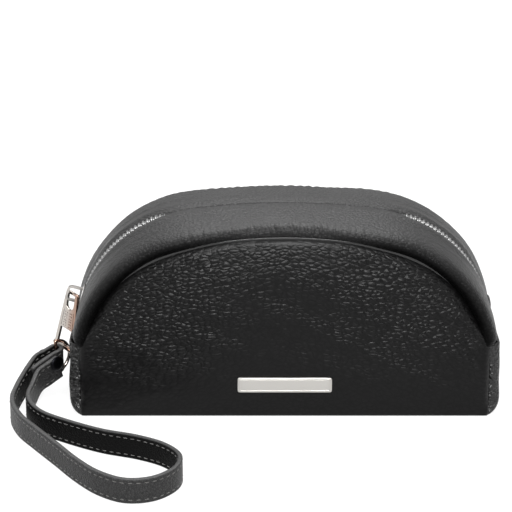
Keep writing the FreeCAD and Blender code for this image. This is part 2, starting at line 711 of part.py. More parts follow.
# ---------------------------------------------------------------- name plate
PLATE_CORNER = 1.2
plate = new_body("name_plate")
half_long = size("plate_length") / 2
half_tall = size("plate_height") / 2
level = size("plate_level")
inner_x = half_long - PLATE_CORNER
inner_z = half_tall - PLATE_CORNER
plate_edges = [
    arc(inner_x, level + inner_z, PLATE_CORNER, 0, 90),
    arc(-inner_x, level + inner_z, PLATE_CORNER, 90, 180),
    arc(-inner_x, level - inner_z, PLATE_CORNER, 180, 270),
    arc(inner_x, level - inner_z, PLATE_CORNER, 270, 360),
]
plate_edges += [
    Part.LineSegment(a.EndPoint, b.StartPoint)
    for a, b in zip(plate_edges, plate_edges[1:] + plate_edges[:1])
]
plate_sketch = new_sketch(plate, "outline", "XZ_Plane", plate_edges, size("leather"))
pad(plate, plate_sketch, "sizes.plate_thickness")
plate.Placement = leaning(FRONT)

WASHER = 7.0
WASHER_THICKNESS = 0.5
prongs = new_body("name_plate_prongs")
washers = new_body("name_plate_washers")
prong_edges = []
washer_edges = []
for centre in (-PRONG_X, PRONG_X):
    prong_edges += rectangle(
        centre - PRONG_WIDTH / 2, level - PRONG_THICKNESS / 2,
        centre + PRONG_WIDTH / 2, level + PRONG_THICKNESS / 2)
    washer_edges += rectangle(
        centre - WASHER / 2, level - WASHER / 2, centre + WASHER / 2, level + WASHER / 2)
prong_sketch = new_sketch(prongs, "outline", "XZ_Plane", prong_edges, -size("foam"))
pad(prongs, prong_sketch, "sizes.leather + sizes.foam")
prongs.Placement = leaning(FRONT)
washer_sketch = new_sketch(washers, "outline", "XZ_Plane", washer_edges, -size("foam"))
pad(washers, washer_sketch, "%g" % WASHER_THICKNESS, back=True)
washers.Placement = leaning(FRONT)

# ---------------------------------------------------------------- check and write
doc.recompute()
faults = [item.Name for item in doc.Objects if {"Invalid", "Error"} & set(item.State)]
if faults:
    raise RuntimeError("these objects did not build: " + ", ".join(faults))
for piece in pieces:
    if piece.Shape.isNull() or not piece.Shape.isValid():
        raise RuntimeError("not a valid shape: " + piece.Label)

os.makedirs("parts", exist_ok=True)
for piece in pieces:
    piece.Shape.exportStep("parts/%s.step" % piece.Label)
    box = piece.Shape.BoundBox
    print("%-20s solids %3d volume %9.1f  x %7.1f %7.1f  y %7.1f %7.1f  z %6.1f %6.1f" % (
        piece.Label, len(piece.Shape.Solids), piece.Shape.Volume,
        box.XMin, box.XMax, box.YMin, box.YMax, box.ZMin, box.ZMax))
print("pieces", len(pieces), "strap length %.0f mm" % path.Length)
print("shoulder centre", shoulder_centre, "pin", pin, "bar", bar_centre, "ring", ring_middle)
print("across", across, "flat", flat, "beside", beside)
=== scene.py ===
import json
import math

import bmesh
import bpy
import numpy as np
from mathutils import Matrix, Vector


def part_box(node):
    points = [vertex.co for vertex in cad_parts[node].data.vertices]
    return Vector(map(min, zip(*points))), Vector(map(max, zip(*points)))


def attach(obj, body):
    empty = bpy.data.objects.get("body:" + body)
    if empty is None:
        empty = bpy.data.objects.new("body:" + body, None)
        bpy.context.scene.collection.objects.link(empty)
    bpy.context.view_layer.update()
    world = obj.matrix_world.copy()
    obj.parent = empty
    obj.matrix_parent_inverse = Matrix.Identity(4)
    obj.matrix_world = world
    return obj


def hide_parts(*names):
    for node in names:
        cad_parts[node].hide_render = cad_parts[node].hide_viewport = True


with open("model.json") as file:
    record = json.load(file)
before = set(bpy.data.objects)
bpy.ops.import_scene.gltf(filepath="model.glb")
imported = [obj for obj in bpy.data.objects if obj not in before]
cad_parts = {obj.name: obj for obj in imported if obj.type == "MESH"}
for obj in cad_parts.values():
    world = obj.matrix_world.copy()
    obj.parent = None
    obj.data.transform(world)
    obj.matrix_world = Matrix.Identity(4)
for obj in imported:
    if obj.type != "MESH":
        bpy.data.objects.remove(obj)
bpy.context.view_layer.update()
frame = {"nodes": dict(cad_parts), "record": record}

# A half-moon makeup bag in black pebbled leather, built round its fixed frame.
# Shapes are worked out in millimetres and turned into metres when a mesh is made.

bl_info = {
    "name": "Half-moon makeup bag",
    "version": (1, 0, 0),
    "blender": (4, 5, 0),
    "location": "View3D > Sidebar > Bag",
    "description": "Builds the leather, zip, metal and strap of a makeup bag",
    "category": "Add Mesh",
}

MM = 0.001
JOINTS = {joint["name"]: joint for joint in frame["record"]["behaviour"]["joints"]}


def joint_place(name):
    """Place of a joint, in millimetres."""
    return np.array(JOINTS[name]["pos_m"], float) / MM


def node_box(name):
    """Low and high corners of a frame node's box, in millimetres."""
    low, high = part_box(name)
    return np.array(low) / MM, np.array(high) / MM


# ---------------------------------------------------------------- mesh tools
def add_mesh(name, points, faces, smooth=True):
    """A mesh object from millimetre points and an integer array or list of faces."""
    if isinstance(faces, np.ndarray):
        faces = faces.tolist()
    mesh = bpy.data.meshes.new(name)
    mesh.from_pydata((np.asarray(points, float) * MM).tolist(), [], faces)
    mesh.polygons.foreach_set("use_smooth", [smooth] * len(mesh.polygons))
    mesh.validate()
    mesh.update()
    piece = bpy.data.objects.new(name, mesh)
    bpy.context.collection.objects.link(piece)
    return piece


def grid_faces(rows, columns, wrap_rows=False, wrap_columns=False):
    """Quads between neighbours of a rows by columns grid, which may close on itself either way."""
    index = np.arange(rows * columns).reshape(rows, columns)
    if wrap_rows:
        index = np.vstack([index, index[:1]])
    if wrap_columns:
        index = np.hstack([index, index[:, :1]])
    corners = [index[:-1, :-1], index[1:, :-1], index[1:, 1:], index[:-1, 1:]]
    return np.stack(corners, -1).reshape(-1, 4)


def surface(name, x, y, z, wrap_columns=False, flip=False):
    """A smooth sheet through a grid of points."""
    points = np.stack([x, y, z], -1).reshape(-1, 3)
    faces = grid_faces(x.shape[0], x.shape[1], wrap_columns=wrap_columns)
    if flip:
        faces = faces[:, ::-1]
    return add_mesh(name, points, faces)


def tube(name, centre, sections, closed):
    """A profile carried along a path: sections holds the profile's points at each place of the path."""
    count, around = sections.shape[:2]
    points = (centre[:, None, :] + sections).reshape(-1, 3)
    faces = grid_faces(count, around, wrap_rows=closed, wrap_columns=True).tolist()
    if not closed:
        faces.append(list(range(around))[::-1])
        faces.append(list(range((count - 1) * around, count * around)))
    return add_mesh(name, points, faces)


def unit(vectors):
    """Each vector scaled to length one."""
    return vectors / np.linalg.norm(vectors, axis=-1, keepdims=True)


def tangents(path, closed=False):
    """Direction of a path at each of its points."""
    if closed:
        return unit(np.roll(path, -1, 0) - np.roll(path, 1, 0))
    return unit(np.gradient(path, axis=0))


def distance_along(path):
    """Length of a path up to each of its points."""
    return np.concatenate([[0], np.cumsum(np.linalg.norm(np.diff(path, axis=0), axis=1))])


def resample(path, count):
    """The same path with the given number of points, evenly apart."""
    run = distance_along(path)
    at = np.linspace(0, run[-1], count)
    return np.stack([np.interp(at, run, path[:, axis]) for axis in range(path.shape[1])], -1)


def spaced(path, step):
    """The same path with its points an even step apart."""
    return resample(path, max(2, int(round(distance_along(path)[-1] / step)) + 1))


def softened(loop, width):
    """A closed loop in a plane with its corners eased by a bell-shaped average over width points."""
    window = np.hanning(width)
    window /= window.sum()
    reach = width // 2
    wrapped = np.vstack([loop[-reach:], loop, loop[:reach]])
    return np.stack([np.convolve(wrapped[:, axis], window, "valid") for axis in (0, 1)], -1)


def ring_points(count):
    """Cosine and sine of evenly spaced angles round a circle."""
    angle = np.linspace(0, 2 * math.pi, count, endpoint=False)
    return np.cos(angle), np.sin(angle)


def wire_sections(radius, first, second, count):
    """A round section at each place of a path, in the plane of its two directions there."""
    cosine, sine = ring_points(count)
    return radius * (cosine[None, :, None] * first[:, None, :] + sine[None, :, None] * second)


def smooth_path(points, step):
    """A uniform cubic spline through given points, resampled at an even step."""
    points = np.asarray(points, float)
    padded = np.vstack([2 * points[0] - points[1], points, 2 * points[-1] - points[-2]])
    share = np.linspace(0, 1, 24, endpoint=False)[None, :, None]
    a, b, c, d = padded[:-3, None], padded[1:-2, None], padded[2:-1, None], padded[3:, None]
    curve = 0.5 * (2 * b + (c - a) * share + (2 * a - 5 * b + 4 * c - d) * share ** 2
                   + (3 * b - a - 3 * c + d) * share ** 3)
    return spaced(np.vstack([curve.reshape(-1, points.shape[1]), points[-1]]), step)


def copies(name, points, faces, places, axes):
    """The same small shape at each place, turned to that place's three axes."""
    turned = np.einsum("kj,njc->nkc", points, axes) + places[:, None, :]
    shifted = faces[None] + (np.arange(len(places)) * len(points))[:, None, None]
    return add_mesh(name, turned.reshape(-1, 3), shifted.reshape(-1, faces.shape[1]))


def close_pole(piece, count, pole):
    """Close the innermost ring of a disc, its first points, on one middle point."""
    mesh = piece.data
    points = np.zeros(len(mesh.vertices) * 3)
    mesh.vertices.foreach_get("co", points)
    points = np.vstack([points.reshape(-1, 3) / MM, pole])
    faces = [list(face.vertices) for face in mesh.polygons]
    last = len(points) - 1
    faces += [[last, step, (step + 1) % count] for step in range(count)]
    mesh.clear_geometry()
    mesh.from_pydata((points * MM).tolist(), [], faces)
    mesh.polygons.foreach_set("use_smooth", [True] * len(mesh.polygons))


def recalculate(piece, merge=False):
    """Turn every face outwards. Points in the same place are merged first if asked, which can give
    the points new numbers."""
    shape = bmesh.new()
    shape.from_mesh(piece.data)
    if merge:
        bmesh.ops.remove_doubles(shape, verts=shape.verts, dist=1e-6)
    bmesh.ops.recalc_face_normals(shape, faces=shape.faces)
    shape.to_mesh(piece.data)
    shape.free()


def smoothstep(low, high, value):
    """Nought at low and one at high, with an easy curve between; low may be the larger number."""
    share = np.clip((value - low) / (high - low), 0, 1)
    return share * share * (3 - 2 * share)


def waves(values, seed, count, low, high):
    """Soft irregular ripple: sines of random lengths and phases between two wavelengths."""
    random = np.random.default_rng(seed)
    length = random.uniform(low, high, count)
    phase = random.uniform(0, 2 * math.pi, count)
    return np.sin(values[..., None] * 2 * math.pi / length + phase).mean(-1) * math.sqrt(2)


def pebbles(across, up, seed):
    """Rounded leather pebbles: one jittered seed in each unit cell, and a dome round each, which is
    the soft least squared distance to the seeds of the nine nearest cells, turned upside down."""
    random = np.random.default_rng(seed)
    table = random.uniform(0.12, 0.88, (64, 64, 2))
    column, row = np.floor(across).astype(int), np.floor(up).astype(int)
    total = np.zeros(across.shape)
    for right in (-1, 0, 1):
        for above in (-1, 0, 1):
            jitter = table[(column + right) % 64, (row + above) % 64]
            away = (column + right + jitter[..., 0] - across) ** 2 + (row + above + jitter[..., 1] - up) ** 2
            total += np.exp(-9.0 * away)
    return 0.55 + np.log(total) / 9.0


def modify(piece, kind, name, **values):
    """Add a modifier with its settings."""
    modifier = piece.modifiers.new(name, kind)
    for key, value in values.items():
        setattr(modifier, key, value)
    return modifier


def finish_piece(piece, body, slot, material, *nodes):
    """Give a piece its material and body, and hide the frame nodes that it stands for; slot is not used."""
    piece.data.materials.clear()
    piece.data.materials.append(material)
    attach(piece, body)
    if nodes:
        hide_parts(*nodes)
    return piece


def store(piece, name, values):
    """Keep one number for each point of a piece, for its material to read."""
    attribute = piece.data.attributes.new(name, "FLOAT", "POINT")
    attribute.data.foreach_set("value", np.asarray(values, np.float32).ravel())


# ---------------------------------------------------------------- the bag's outlines
class Arch:
    """A half-moon outline: upright ends, round shoulders and a flatter crown, all tangent."""

    def __init__(self, half_width, apex, crown, shoulder):
        self.half_width, self.crown, self.shoulder = half_width, crown, shoulder
        self.centre_x = half_width - shoulder
        self.crown_z = apex - crown
        self.turn = math.asin(self.centre_x / (crown - shoulder))
        self.centre_z = self.crown_z + (crown - shoulder) * math.cos(self.turn)

    def path(self, inset, foot, step=1.0):
        """Points (x, z) from the left foot over the top to the right foot, an even step apart."""
        bend = self.shoulder - inset
        side = self.half_width - inset
        low = max(0.0, math.asin(min(1.0, max(0.0, (foot - self.centre_z) / bend))))
        right = np.linspace(low, math.pi / 2 - self.turn, 120)
        top = np.linspace(math.pi / 2 - self.turn, math.pi / 2 + self.turn, 160)
        corner = np.stack([self.centre_x + bend * np.cos(right), self.centre_z + bend * np.sin(right)], -1)
        high = self.crown - inset
        crown = np.stack([high * np.cos(top), self.crown_z + high * np.sin(top)], -1)
        left = corner[::-1] * [-1, 1]
        over = np.vstack([corner, crown[1:-1], left])[::-1]
        if foot < self.centre_z:
            over = np.vstack([[-side, foot], over, [side, foot]])
        return spaced(over, step)


def sideways(path):
    """Outward direction at each point of a half-moon path that runs from left to right."""
    along = tangents(path)
    return np.stack([-along[:, 1], along[:, 0]], -1)


def arch_places(path, across):
    """Points and axes (along, across the bag, outward) on a half-moon path, across mm from its plane."""
    along, out = tangents(path), sideways(path)
    zero = np.zeros(len(path))
    places = np.stack([path[:, 0], zero + across, path[:, 1]], -1)
    axes = [np.stack([along[:, 0], zero, along[:, 1]], -1),
            np.stack([zero, zero + 1, zero], -1),
            np.stack([out[:, 0], zero, out[:, 1]], -1)]
    return places, np.stack(axes, 1)


# Radii, leather thicknesses and the ring's wire are in millimetres. LEAN and ROW_FALL are slopes: of the
# panels, and of their rows of pebbles. FLAT runs along the strap's start and BESIDE square to it.
roof_high = node_box("roof_strip_front")[1]
panel_low, panel_high = node_box("front_panel")
slider_centre = joint_place("slider_travel")
ROOF_SHOULDER = 64.0
ROOF = Arch(ROOF_SHOULDER - slider_centre[0], roof_high[2], 380.0, ROOF_SHOULDER)
ROOF_EDGE = Arch(ROOF.half_width - 0.4, roof_high[2] - 1.8, 210.0, 66.0)
PANEL = Arch(panel_high[0], panel_high[2], 221.0, 64.0)
PANEL_MIDDLE = np.array([0.0, 36.0])
DEPTH = -panel_low[1]
LEAN = math.tan(math.radians(3.04))
PANEL_LEATHER = 1.2
THIN_LEATHER = 0.9
ROW_FALL = 0.16
UPRIGHT = np.array([0.0, 0.0, 1.0])
RING_WIRE = 0.9
RING = joint_place("strap_swing")
BAR = joint_place("ring_swing")
FLAT = unit(np.array([RING[0] - BAR[0], RING[1] - BAR[1], 0.0]))
BESIDE = np.array([-FLAT[1], FLAT[0], 0.0])


def panel_outline():
    """The closed outline of the front: the half-moon, drawn out to full width where it meets the
    end panels' tops, and a straight foot."""
    arch = PANEL.path(0, 0.0, 0.8)
    arch[:, 0] *= 1 + 0.016 * np.exp(-((arch[:, 1] - 37) / 8.0) ** 2)
    foot = np.stack([np.linspace(arch[-1, 0], arch[0, 0], 240), np.zeros(240)], -1)
    return np.vstack([arch, foot[1:]])


def edge_radius(x, z, sizes):
    """Radius of a panel's rolled edge: tight at the foot, and twice as wide at the shoulders."""
    shoulder = smoothstep(22, 66, np.abs(x)) * smoothstep(36, 50, z)
    return 1.6 + (sizes.edge_roll - 1.6) * smoothstep(0.5, 9, z) + 4.0 * shoulder


# ---------------------------------------------------------------- settings
def size_setting(name, description, default, low, high):
    """A size in millimetres and its limits."""
    return bpy.props.FloatProperty(
        name=name, description=description + ", mm", default=default, min=low, max=high)


def colour_setting(name, description, red, green, blue):
    """An opaque colour."""
    return bpy.props.FloatVectorProperty(
        name=name, description=description, subtype="COLOR", size=4, min=0, max=1,
        default=(red, green, blue, 1))


class MakeupBagSizes(bpy.types.PropertyGroup):
    """Sizes of the soft and small parts, in millimetres"""
    panel_crown: size_setting("Panel crown", "How far the front and back swell", 2.6, 0, 6)
    edge_roll: size_setting("Edge roll", "Radius of the panels' rolled edge", 4.2, 1, 8)
    pebble_height: size_setting("Pebble height", "Relief of the front and back leather", 0.34, 0, 1)
    roof_puff: size_setting("Roof puff", "Height of the soft roll at the shoulders", 1.7, 0, 4)
    lip_gap: size_setting("Lip gap", "Zip's middle to a roof strip at the shoulders", 3.1, 1, 5)
    tooth_pitch: size_setting("Tooth pitch", "Pitch of one row of teeth", 2.3, 1, 4)
    strap_thickness: size_setting("Strap thickness", "Thickness of the wrist strap", 2.5, 1, 4)
    strap_width: size_setting("Strap width", "Width of the wrist strap", 12.5, 6, 20)
    stitch_pitch: size_setting("Stitch pitch", "Pitch of the strap's stitches", 3.3, 1, 8)


class MakeupBagColours(bpy.types.PropertyGroup):
    """Colours of the leathers, thread and metals"""
    body: colour_setting("Body leather", "Colour of the front, back and ends", 0.0022, 0.0021, 0.0022)
    roof: colour_setting("Roof leather", "Colour of the strips beside the zip", 0.014, 0.0138, 0.014)
    strap: colour_setting("Strap leather", "Colour of the strap's outer face", 0.02, 0.0198, 0.02)
    strap_inner: colour_setting("Strap lining", "Colour of the strap's inner face", 0.003, 0.003, 0.003)
    edge: colour_setting("Edge paint", "Colour of the strap's painted edges", 0.05, 0.05, 0.05)
    thread: colour_setting("Thread", "Colour of the strap's stitches", 0.06, 0.058, 0.055)
    nickel: colour_setting("Nickel", "Colour of the name plate", 0.46, 0.447, 0.425)
    puller: colour_setting("Puller", "Colour of the zip puller", 0.45, 0.42, 0.39)
    rose: colour_setting("Rose nickel", "Warmer colour of the puller's near side", 0.33, 0.215, 0.165)


# ---------------------------------------------------------------- materials
def node_material(name, colour, roughness, metallic=0.0):
    """A material with one principled shader, and the tools to add to it."""
    material = bpy.data.materials.new(name)
    material.use_nodes = True
    shader = material.node_tree.nodes["Principled BSDF"]
    shader.inputs["Base Color"].default_value = colour
    shader.inputs["Roughness"].default_value = roughness
    shader.inputs["Metallic"].default_value = metallic
    return material, material.node_tree, shader


def new_node(tree, kind, **values):
    """Add a shader node. Each value goes to the input of that name, or else to the node's setting."""
    node = tree.nodes.new(kind)
    for key, value in values.items():
        if key in node.inputs:
            node.inputs[key].default_value = value
        else:
            setattr(node, key, value)
    return node


def maths(tree, operation, first, second):
    """One sum of two numbers, each a socket or a plain value."""
    node = tree.nodes.new("ShaderNodeMath")
    node.operation = operation
    for socket, value in zip(node.inputs, (first, second)):
        if isinstance(value, (int, float)):
            socket.default_value = value
        else:
            tree.links.new(value, socket)
    return node.outputs[0]


def leather(name, colour, cell, stretch, depth, roughness, relief=False, turn=0.0, shine=0.3,
            seam_shade=False):
    """Pebbled leather: warped cells with rounded tops and narrow creases, fine pores and uneven
    polish. Painted shade darkens the creases and paints the tops a little lighter. cell is the
    pebble's size in mm and stretch how much longer it is along X. With relief, the rows of pebbles
    fall away from the middle, and the piece's relief attribute says how deep they are at each place.
    With the last flag, a point attribute paints shade into the colour and the reflections in the
    crease beside a seam."""
    material, tree, shader = node_material(name, colour, roughness)
    link = tree.links.new
    place = new_node(tree, "ShaderNodeTexCoord").outputs["Object"]
    flow = place
    if relief:
        split = new_node(tree, "ShaderNodeSeparateXYZ")
        link(place, split.inputs[0])
        rows = maths(tree, "MULTIPLY", maths(tree, "ABSOLUTE", split.outputs["X"], 0.0), ROW_FALL)
        joined = new_node(tree, "ShaderNodeCombineXYZ")
        link(split.outputs["X"], joined.inputs["X"])
        link(split.outputs["Y"], joined.inputs["Y"])
        link(maths(tree, "ADD", split.outputs["Z"], rows), joined.inputs["Z"])
        flow = joined.outputs[0]
    scaled = new_node(tree, "ShaderNodeMapping")
    scaled.inputs["Scale"].default_value = (1 / stretch, 1, 1)
    scaled.inputs["Rotation"].default_value = (0, turn, 0)
    link(flow, scaled.inputs["Vector"])
    warp = new_node(tree, "ShaderNodeTexNoise", Scale=300.0, Detail=1.0)
    link(scaled.outputs[0], warp.inputs["Vector"])
    shift = new_node(tree, "ShaderNodeVectorMath", operation="SCALE")
    shift.inputs["Scale"].default_value = cell * MM * 0.5
    link(warp.outputs["Color"], shift.inputs[0])
    moved = new_node(tree, "ShaderNodeVectorMath", operation="ADD")
    link(scaled.outputs[0], moved.inputs[0])
    link(shift.outputs[0], moved.inputs[1])
    border = new_node(tree, "ShaderNodeTexVoronoi", feature="DISTANCE_TO_EDGE", Scale=1 / (cell * MM))
    link(moved.outputs[0], border.inputs["Vector"])
    grain = new_node(tree, "ShaderNodeTexVoronoi", feature="SMOOTH_F1", Scale=1 / (cell * MM), Smoothness=0.4)
    link(moved.outputs[0], grain.inputs["Vector"])
    pores = new_node(tree, "ShaderNodeTexNoise", Scale=2600.0, Detail=2.0)
    link(place, pores.inputs["Vector"])
    patches = new_node(tree, "ShaderNodeTexNoise", Scale=26.0, Detail=2.0)
    link(place, patches.inputs["Vector"])
    top = new_node(tree, "ShaderNodeMapRange", interpolation_type="SMOOTHERSTEP")
    top.inputs["From Min"].default_value = -0.15
    top.inputs["From Max"].default_value = 0.42
    link(border.outputs["Distance"], top.inputs["Value"])
    dome = maths(tree, "MULTIPLY", grain.outputs["Distance"], 0.9)
    height = maths(tree, "SUBTRACT", maths(tree, "MULTIPLY", top.outputs[0], 0.7), dome)
    strength = maths(tree, "ADD", maths(tree, "MULTIPLY", patches.outputs[0], 0.8), 0.6)
    if relief:
        mark = new_node(tree, "ShaderNodeAttribute", attribute_name="relief")
        strength = maths(tree, "MULTIPLY", strength, mark.outputs["Fac"])
    height = maths(tree, "MULTIPLY", height, strength)
    height = maths(tree, "ADD", height, maths(tree, "MULTIPLY", pores.outputs[0], 0.05))
    bump = new_node(tree, "ShaderNodeBump", Strength=1.0, Distance=depth * MM)
    link(height, bump.inputs["Height"])
    link(bump.outputs[0], shader.inputs["Normal"])
    # Painted shade: the colour falls to about a third in the creases between pebbles and rises a little above
    # it on their tops.
    crease = new_node(tree, "ShaderNodeMapRange")
    crease.inputs["From Max"].default_value = 0.2
    crease.inputs["To Min"].default_value = 0.35
    crease.inputs["To Max"].default_value = 1.1
    link(border.outputs["Distance"], crease.inputs["Value"])
    crease_shaded_colour = new_node(tree, "ShaderNodeVectorMath", operation="SCALE")
    crease_shaded_colour.inputs[0].default_value = colour[:3]
    link(crease.outputs[0], crease_shaded_colour.inputs["Scale"])
    link(crease_shaded_colour.outputs[0], shader.inputs["Base Color"])
    polish = maths(tree, "ADD", maths(tree, "MULTIPLY", patches.outputs[0], 0.16), roughness - 0.08)
    link(polish, shader.inputs["Roughness"])
    shader.inputs["Specular IOR Level"].default_value = shine
    # Painted shade: the attribute darkens the colour and the reflections in the crease beside a seam.
    if seam_shade:
        mark = new_node(tree, "ShaderNodeAttribute", attribute_name="seam_shade")
        shade = maths(tree, "SUBTRACT", 1.0, maths(tree, "MULTIPLY", mark.outputs["Fac"], 0.9))
        seam_shaded_colour = new_node(tree, "ShaderNodeVectorMath", operation="SCALE")
        link(crease_shaded_colour.outputs[0], seam_shaded_colour.inputs[0])
        link(shade, seam_shaded_colour.inputs["Scale"])
        link(seam_shaded_colour.outputs[0], shader.inputs["Base Color"])
        link(maths(tree, "MULTIPLY", shade, shine), shader.inputs["Specular IOR Level"])
    return material


def metal(name, colour, roughness, grain, second=None):
    """Plated metal: fine drawn scratches and faint uneven polish. A second colour, if given, comes in
    towards the front of the bag."""
    material, tree, shader = node_material(name, colour, roughness, 1.0)
    link = tree.links.new
    place = new_node(tree, "ShaderNodeTexCoord").outputs["Object"]
    drawn = new_node(tree, "ShaderNodeMapping")
    drawn.inputs["Scale"].default_value = (0.08, 1, 1)
    link(place, drawn.inputs["Vector"])
    lines = new_node(tree, "ShaderNodeTexNoise", Scale=5200.0, Detail=2.0)
    link(drawn.outputs[0], lines.inputs["Vector"])
    bump = new_node(tree, "ShaderNodeBump", Strength=grain, Distance=0.00002)
    link(lines.outputs[0], bump.inputs["Height"])
    link(bump.outputs[0], shader.inputs["Normal"])
    cloud = new_node(tree, "ShaderNodeTexNoise", Scale=180.0, Detail=2.0)
    link(place, cloud.inputs["Vector"])
    polish = maths(tree, "ADD", maths(tree, "MULTIPLY", cloud.outputs[0], 0.1), roughness - 0.05)
    link(polish, shader.inputs["Roughness"])
    if second:
        split = new_node(tree, "ShaderNodeSeparateXYZ")
        link(place, split.inputs[0])
        near = new_node(tree, "ShaderNodeMapRange", interpolation_type="SMOOTHSTEP")
        near.inputs["From Min"].default_value = 0.0015
        near.inputs["From Max"].default_value = -0.0045
        link(split.outputs["Y"], near.inputs["Value"])
        blend = new_node(tree, "ShaderNodeMix", data_type="RGBA")
        blend.inputs[6].default_value = colour
        blend.inputs[7].default_value = second
        link(near.outputs[0], blend.inputs[0])
        link(blend.outputs[2], shader.inputs["Base Color"])
    return material


def weave(name, colour, thread):
    """Plain weave: two crossed sets of threads, thread metres apart."""
    material, tree, shader = node_material(name, colour, 0.85)
    link = tree.links.new
    place = new_node(tree, "ShaderNodeTexCoord").outputs["Object"]
    ridges = []
    for direction in ("X", "Y", "Z"):
        wave = new_node(tree, "ShaderNodeTexWave", bands_direction=direction, Scale=0.32 / thread)
        link(place, wave.inputs["Vector"])
        ridges.append(wave.outputs["Fac"])
    height = maths(tree, "ADD", maths(tree, "ADD", ridges[0], ridges[1]), ridges[2])
    bump = new_node(tree, "ShaderNodeBump", Strength=0.6, Distance=thread * 0.3)
    link(height, bump.inputs["Height"])
    link(bump.outputs[0], shader.inputs["Normal"])
    shader.inputs["Sheen Weight"].default_value = 0.3
    return material


def strap_leather(colours):
    """The strap's outer face is fine-grained, its inner face nearly black with weaker reflections, and its
    painted edges paler. The attributes inner and edge, each nought or one, mark where."""
    material = leather("strap_leather", colours.strap, 1.1, 1.0, 0.2, 0.46)
    tree = material.node_tree
    shader = tree.nodes["Principled BSDF"]
    colour = shader.inputs["Base Color"].links[0].from_socket
    for name, second in (("inner", colours.strap_inner), ("edge", colours.edge)):
        mark = new_node(tree, "ShaderNodeAttribute", attribute_name=name)
        blend = new_node(tree, "ShaderNodeMix", data_type="RGBA")
        blend.inputs[7].default_value = second
        tree.links.new(mark.outputs["Fac"], blend.inputs[0])
        tree.links.new(colour, blend.inputs[6])
        colour = blend.outputs[2]
    tree.links.new(colour, shader.inputs["Base Color"])
    mark = new_node(tree, "ShaderNodeAttribute", attribute_name="inner")
    dull = maths(tree, "SUBTRACT", 0.2, maths(tree, "MULTIPLY", mark.outputs["Fac"], 0.16))
    tree.links.new(dull, shader.inputs["Specular IOR Level"])
    return material


MATERIALS = {}


def make_materials(colours):
    """Mix every leather, metal and cloth of the bag."""
    made = MATERIALS
    made["body"] = leather("body_leather", colours.body, 1.9, 1.7, 0.5, 0.38, relief=True, shine=0.15)
    made["end"] = leather("end_leather", colours.body, 2.4, 1.3, 0.6, 0.4, turn=0.8, shine=0.4)
    # The roof leather carries painted shade in the crease beside its seam.
    made["roof"] = leather("roof_leather", colours.roof, 1.6, 1.2, 0.2, 0.46, seam_shade=True)
    made["strap"] = strap_leather(colours)
    made["nickel"] = metal("satin_nickel", colours.nickel, 0.34, 0.35)
    made["puller"] = metal("warm_nickel", colours.puller, 0.16, 0.25, second=colours.rose)
    made["bright"] = metal("bright_nickel", (0.5, 0.475, 0.45, 1), 0.16, 0.15)
    made["zip"] = metal("zip_nickel", (0.3, 0.3, 0.3, 1), 0.28, 0.1)
    made["black"] = metal("black_metal", (0.01, 0.01, 0.012, 1), 0.42, 0.1)
    made["lining"] = weave("lining_weave", (0.03, 0.03, 0.034, 1), 0.0005)
    made["tape"] = weave("tape_weave", (0.006, 0.006, 0.006, 1), 0.0006)
    made["thread"] = weave("black_thread", (0.01, 0.01, 0.01, 1), 0.0003)
    made["strap_thread"] = weave("grey_thread", colours.thread, 0.0003)
    made["padding"] = weave("foam_padding", (0.5, 0.5, 0.48, 1), 0.0008)
    made["board"] = weave("pressed_board", (0.35, 0.28, 0.2, 1), 0.0012)


# ---------------------------------------------------------------- leather shell
def panel_rings(sizes, seed, reach, count):
    """Grids of X, depth and Z over a panel. Rings shrink from the half-moon outline, scaled by reach,
    to a middle point. A point stands out by the crown, which falls to nothing at the edge, droops
    softly near the edge, and over the last few millimetres rolls back in a quarter circle, wide at
    the shoulders and tight at the foot. Shallow random hollows keep it soft."""
    outline = softened(resample(panel_outline(), 481)[:-1], 7)
    along = tangents(outline, closed=True)
    outward = np.stack([-along[:, 1], along[:, 0]], -1)
    support = ((outline - PANEL_MIDDLE) * outward).sum(-1)
    share = reach * (1 - (1 - np.linspace(0, 1, count + 1)[1:]) ** 1.35)
    x = PANEL_MIDDLE[0] + share[:, None] * (outline[:, 0] - PANEL_MIDDLE[0])
    z = PANEL_MIDDLE[1] + share[:, None] * (outline[:, 1] - PANEL_MIDDLE[1])
    inward = (1 - share)[:, None] * support
    roll = edge_radius(outline[:, 0], outline[:, 1], sizes)
    back = roll - np.sqrt(np.clip(roll ** 2 - np.clip(roll - inward, 0, roll) ** 2, 0, None))
    droop = 2.4 * np.clip(1 - inward / 26, 0, 1) ** 2 * smoothstep(14, 44, z)
    swell = sizes.panel_crown * (1 - share[:, None] ** 2.2)
    soft = 0.5 * waves(x * 0.8 + z * 0.6, seed, 5, 26, 60) * waves(z - x * 0.3, seed + 1, 5, 24, 50)
    depth = DEPTH - PANEL_LEATHER - LEAN * z + swell - droop + soft * smoothstep(2, 16, inward) - back
    return x, depth, z, inward


def panel_disc(name, side, x, depth, z):
    """A disc through a panel's rings, closed at its middle."""
    piece = surface(name, side * -x, side * depth, z, wrap_columns=True)
    close_pole(piece, x.shape[1], (0.0, side * depth[0].mean(), PANEL_MIDDLE[1]))
    recalculate(piece)
    return piece


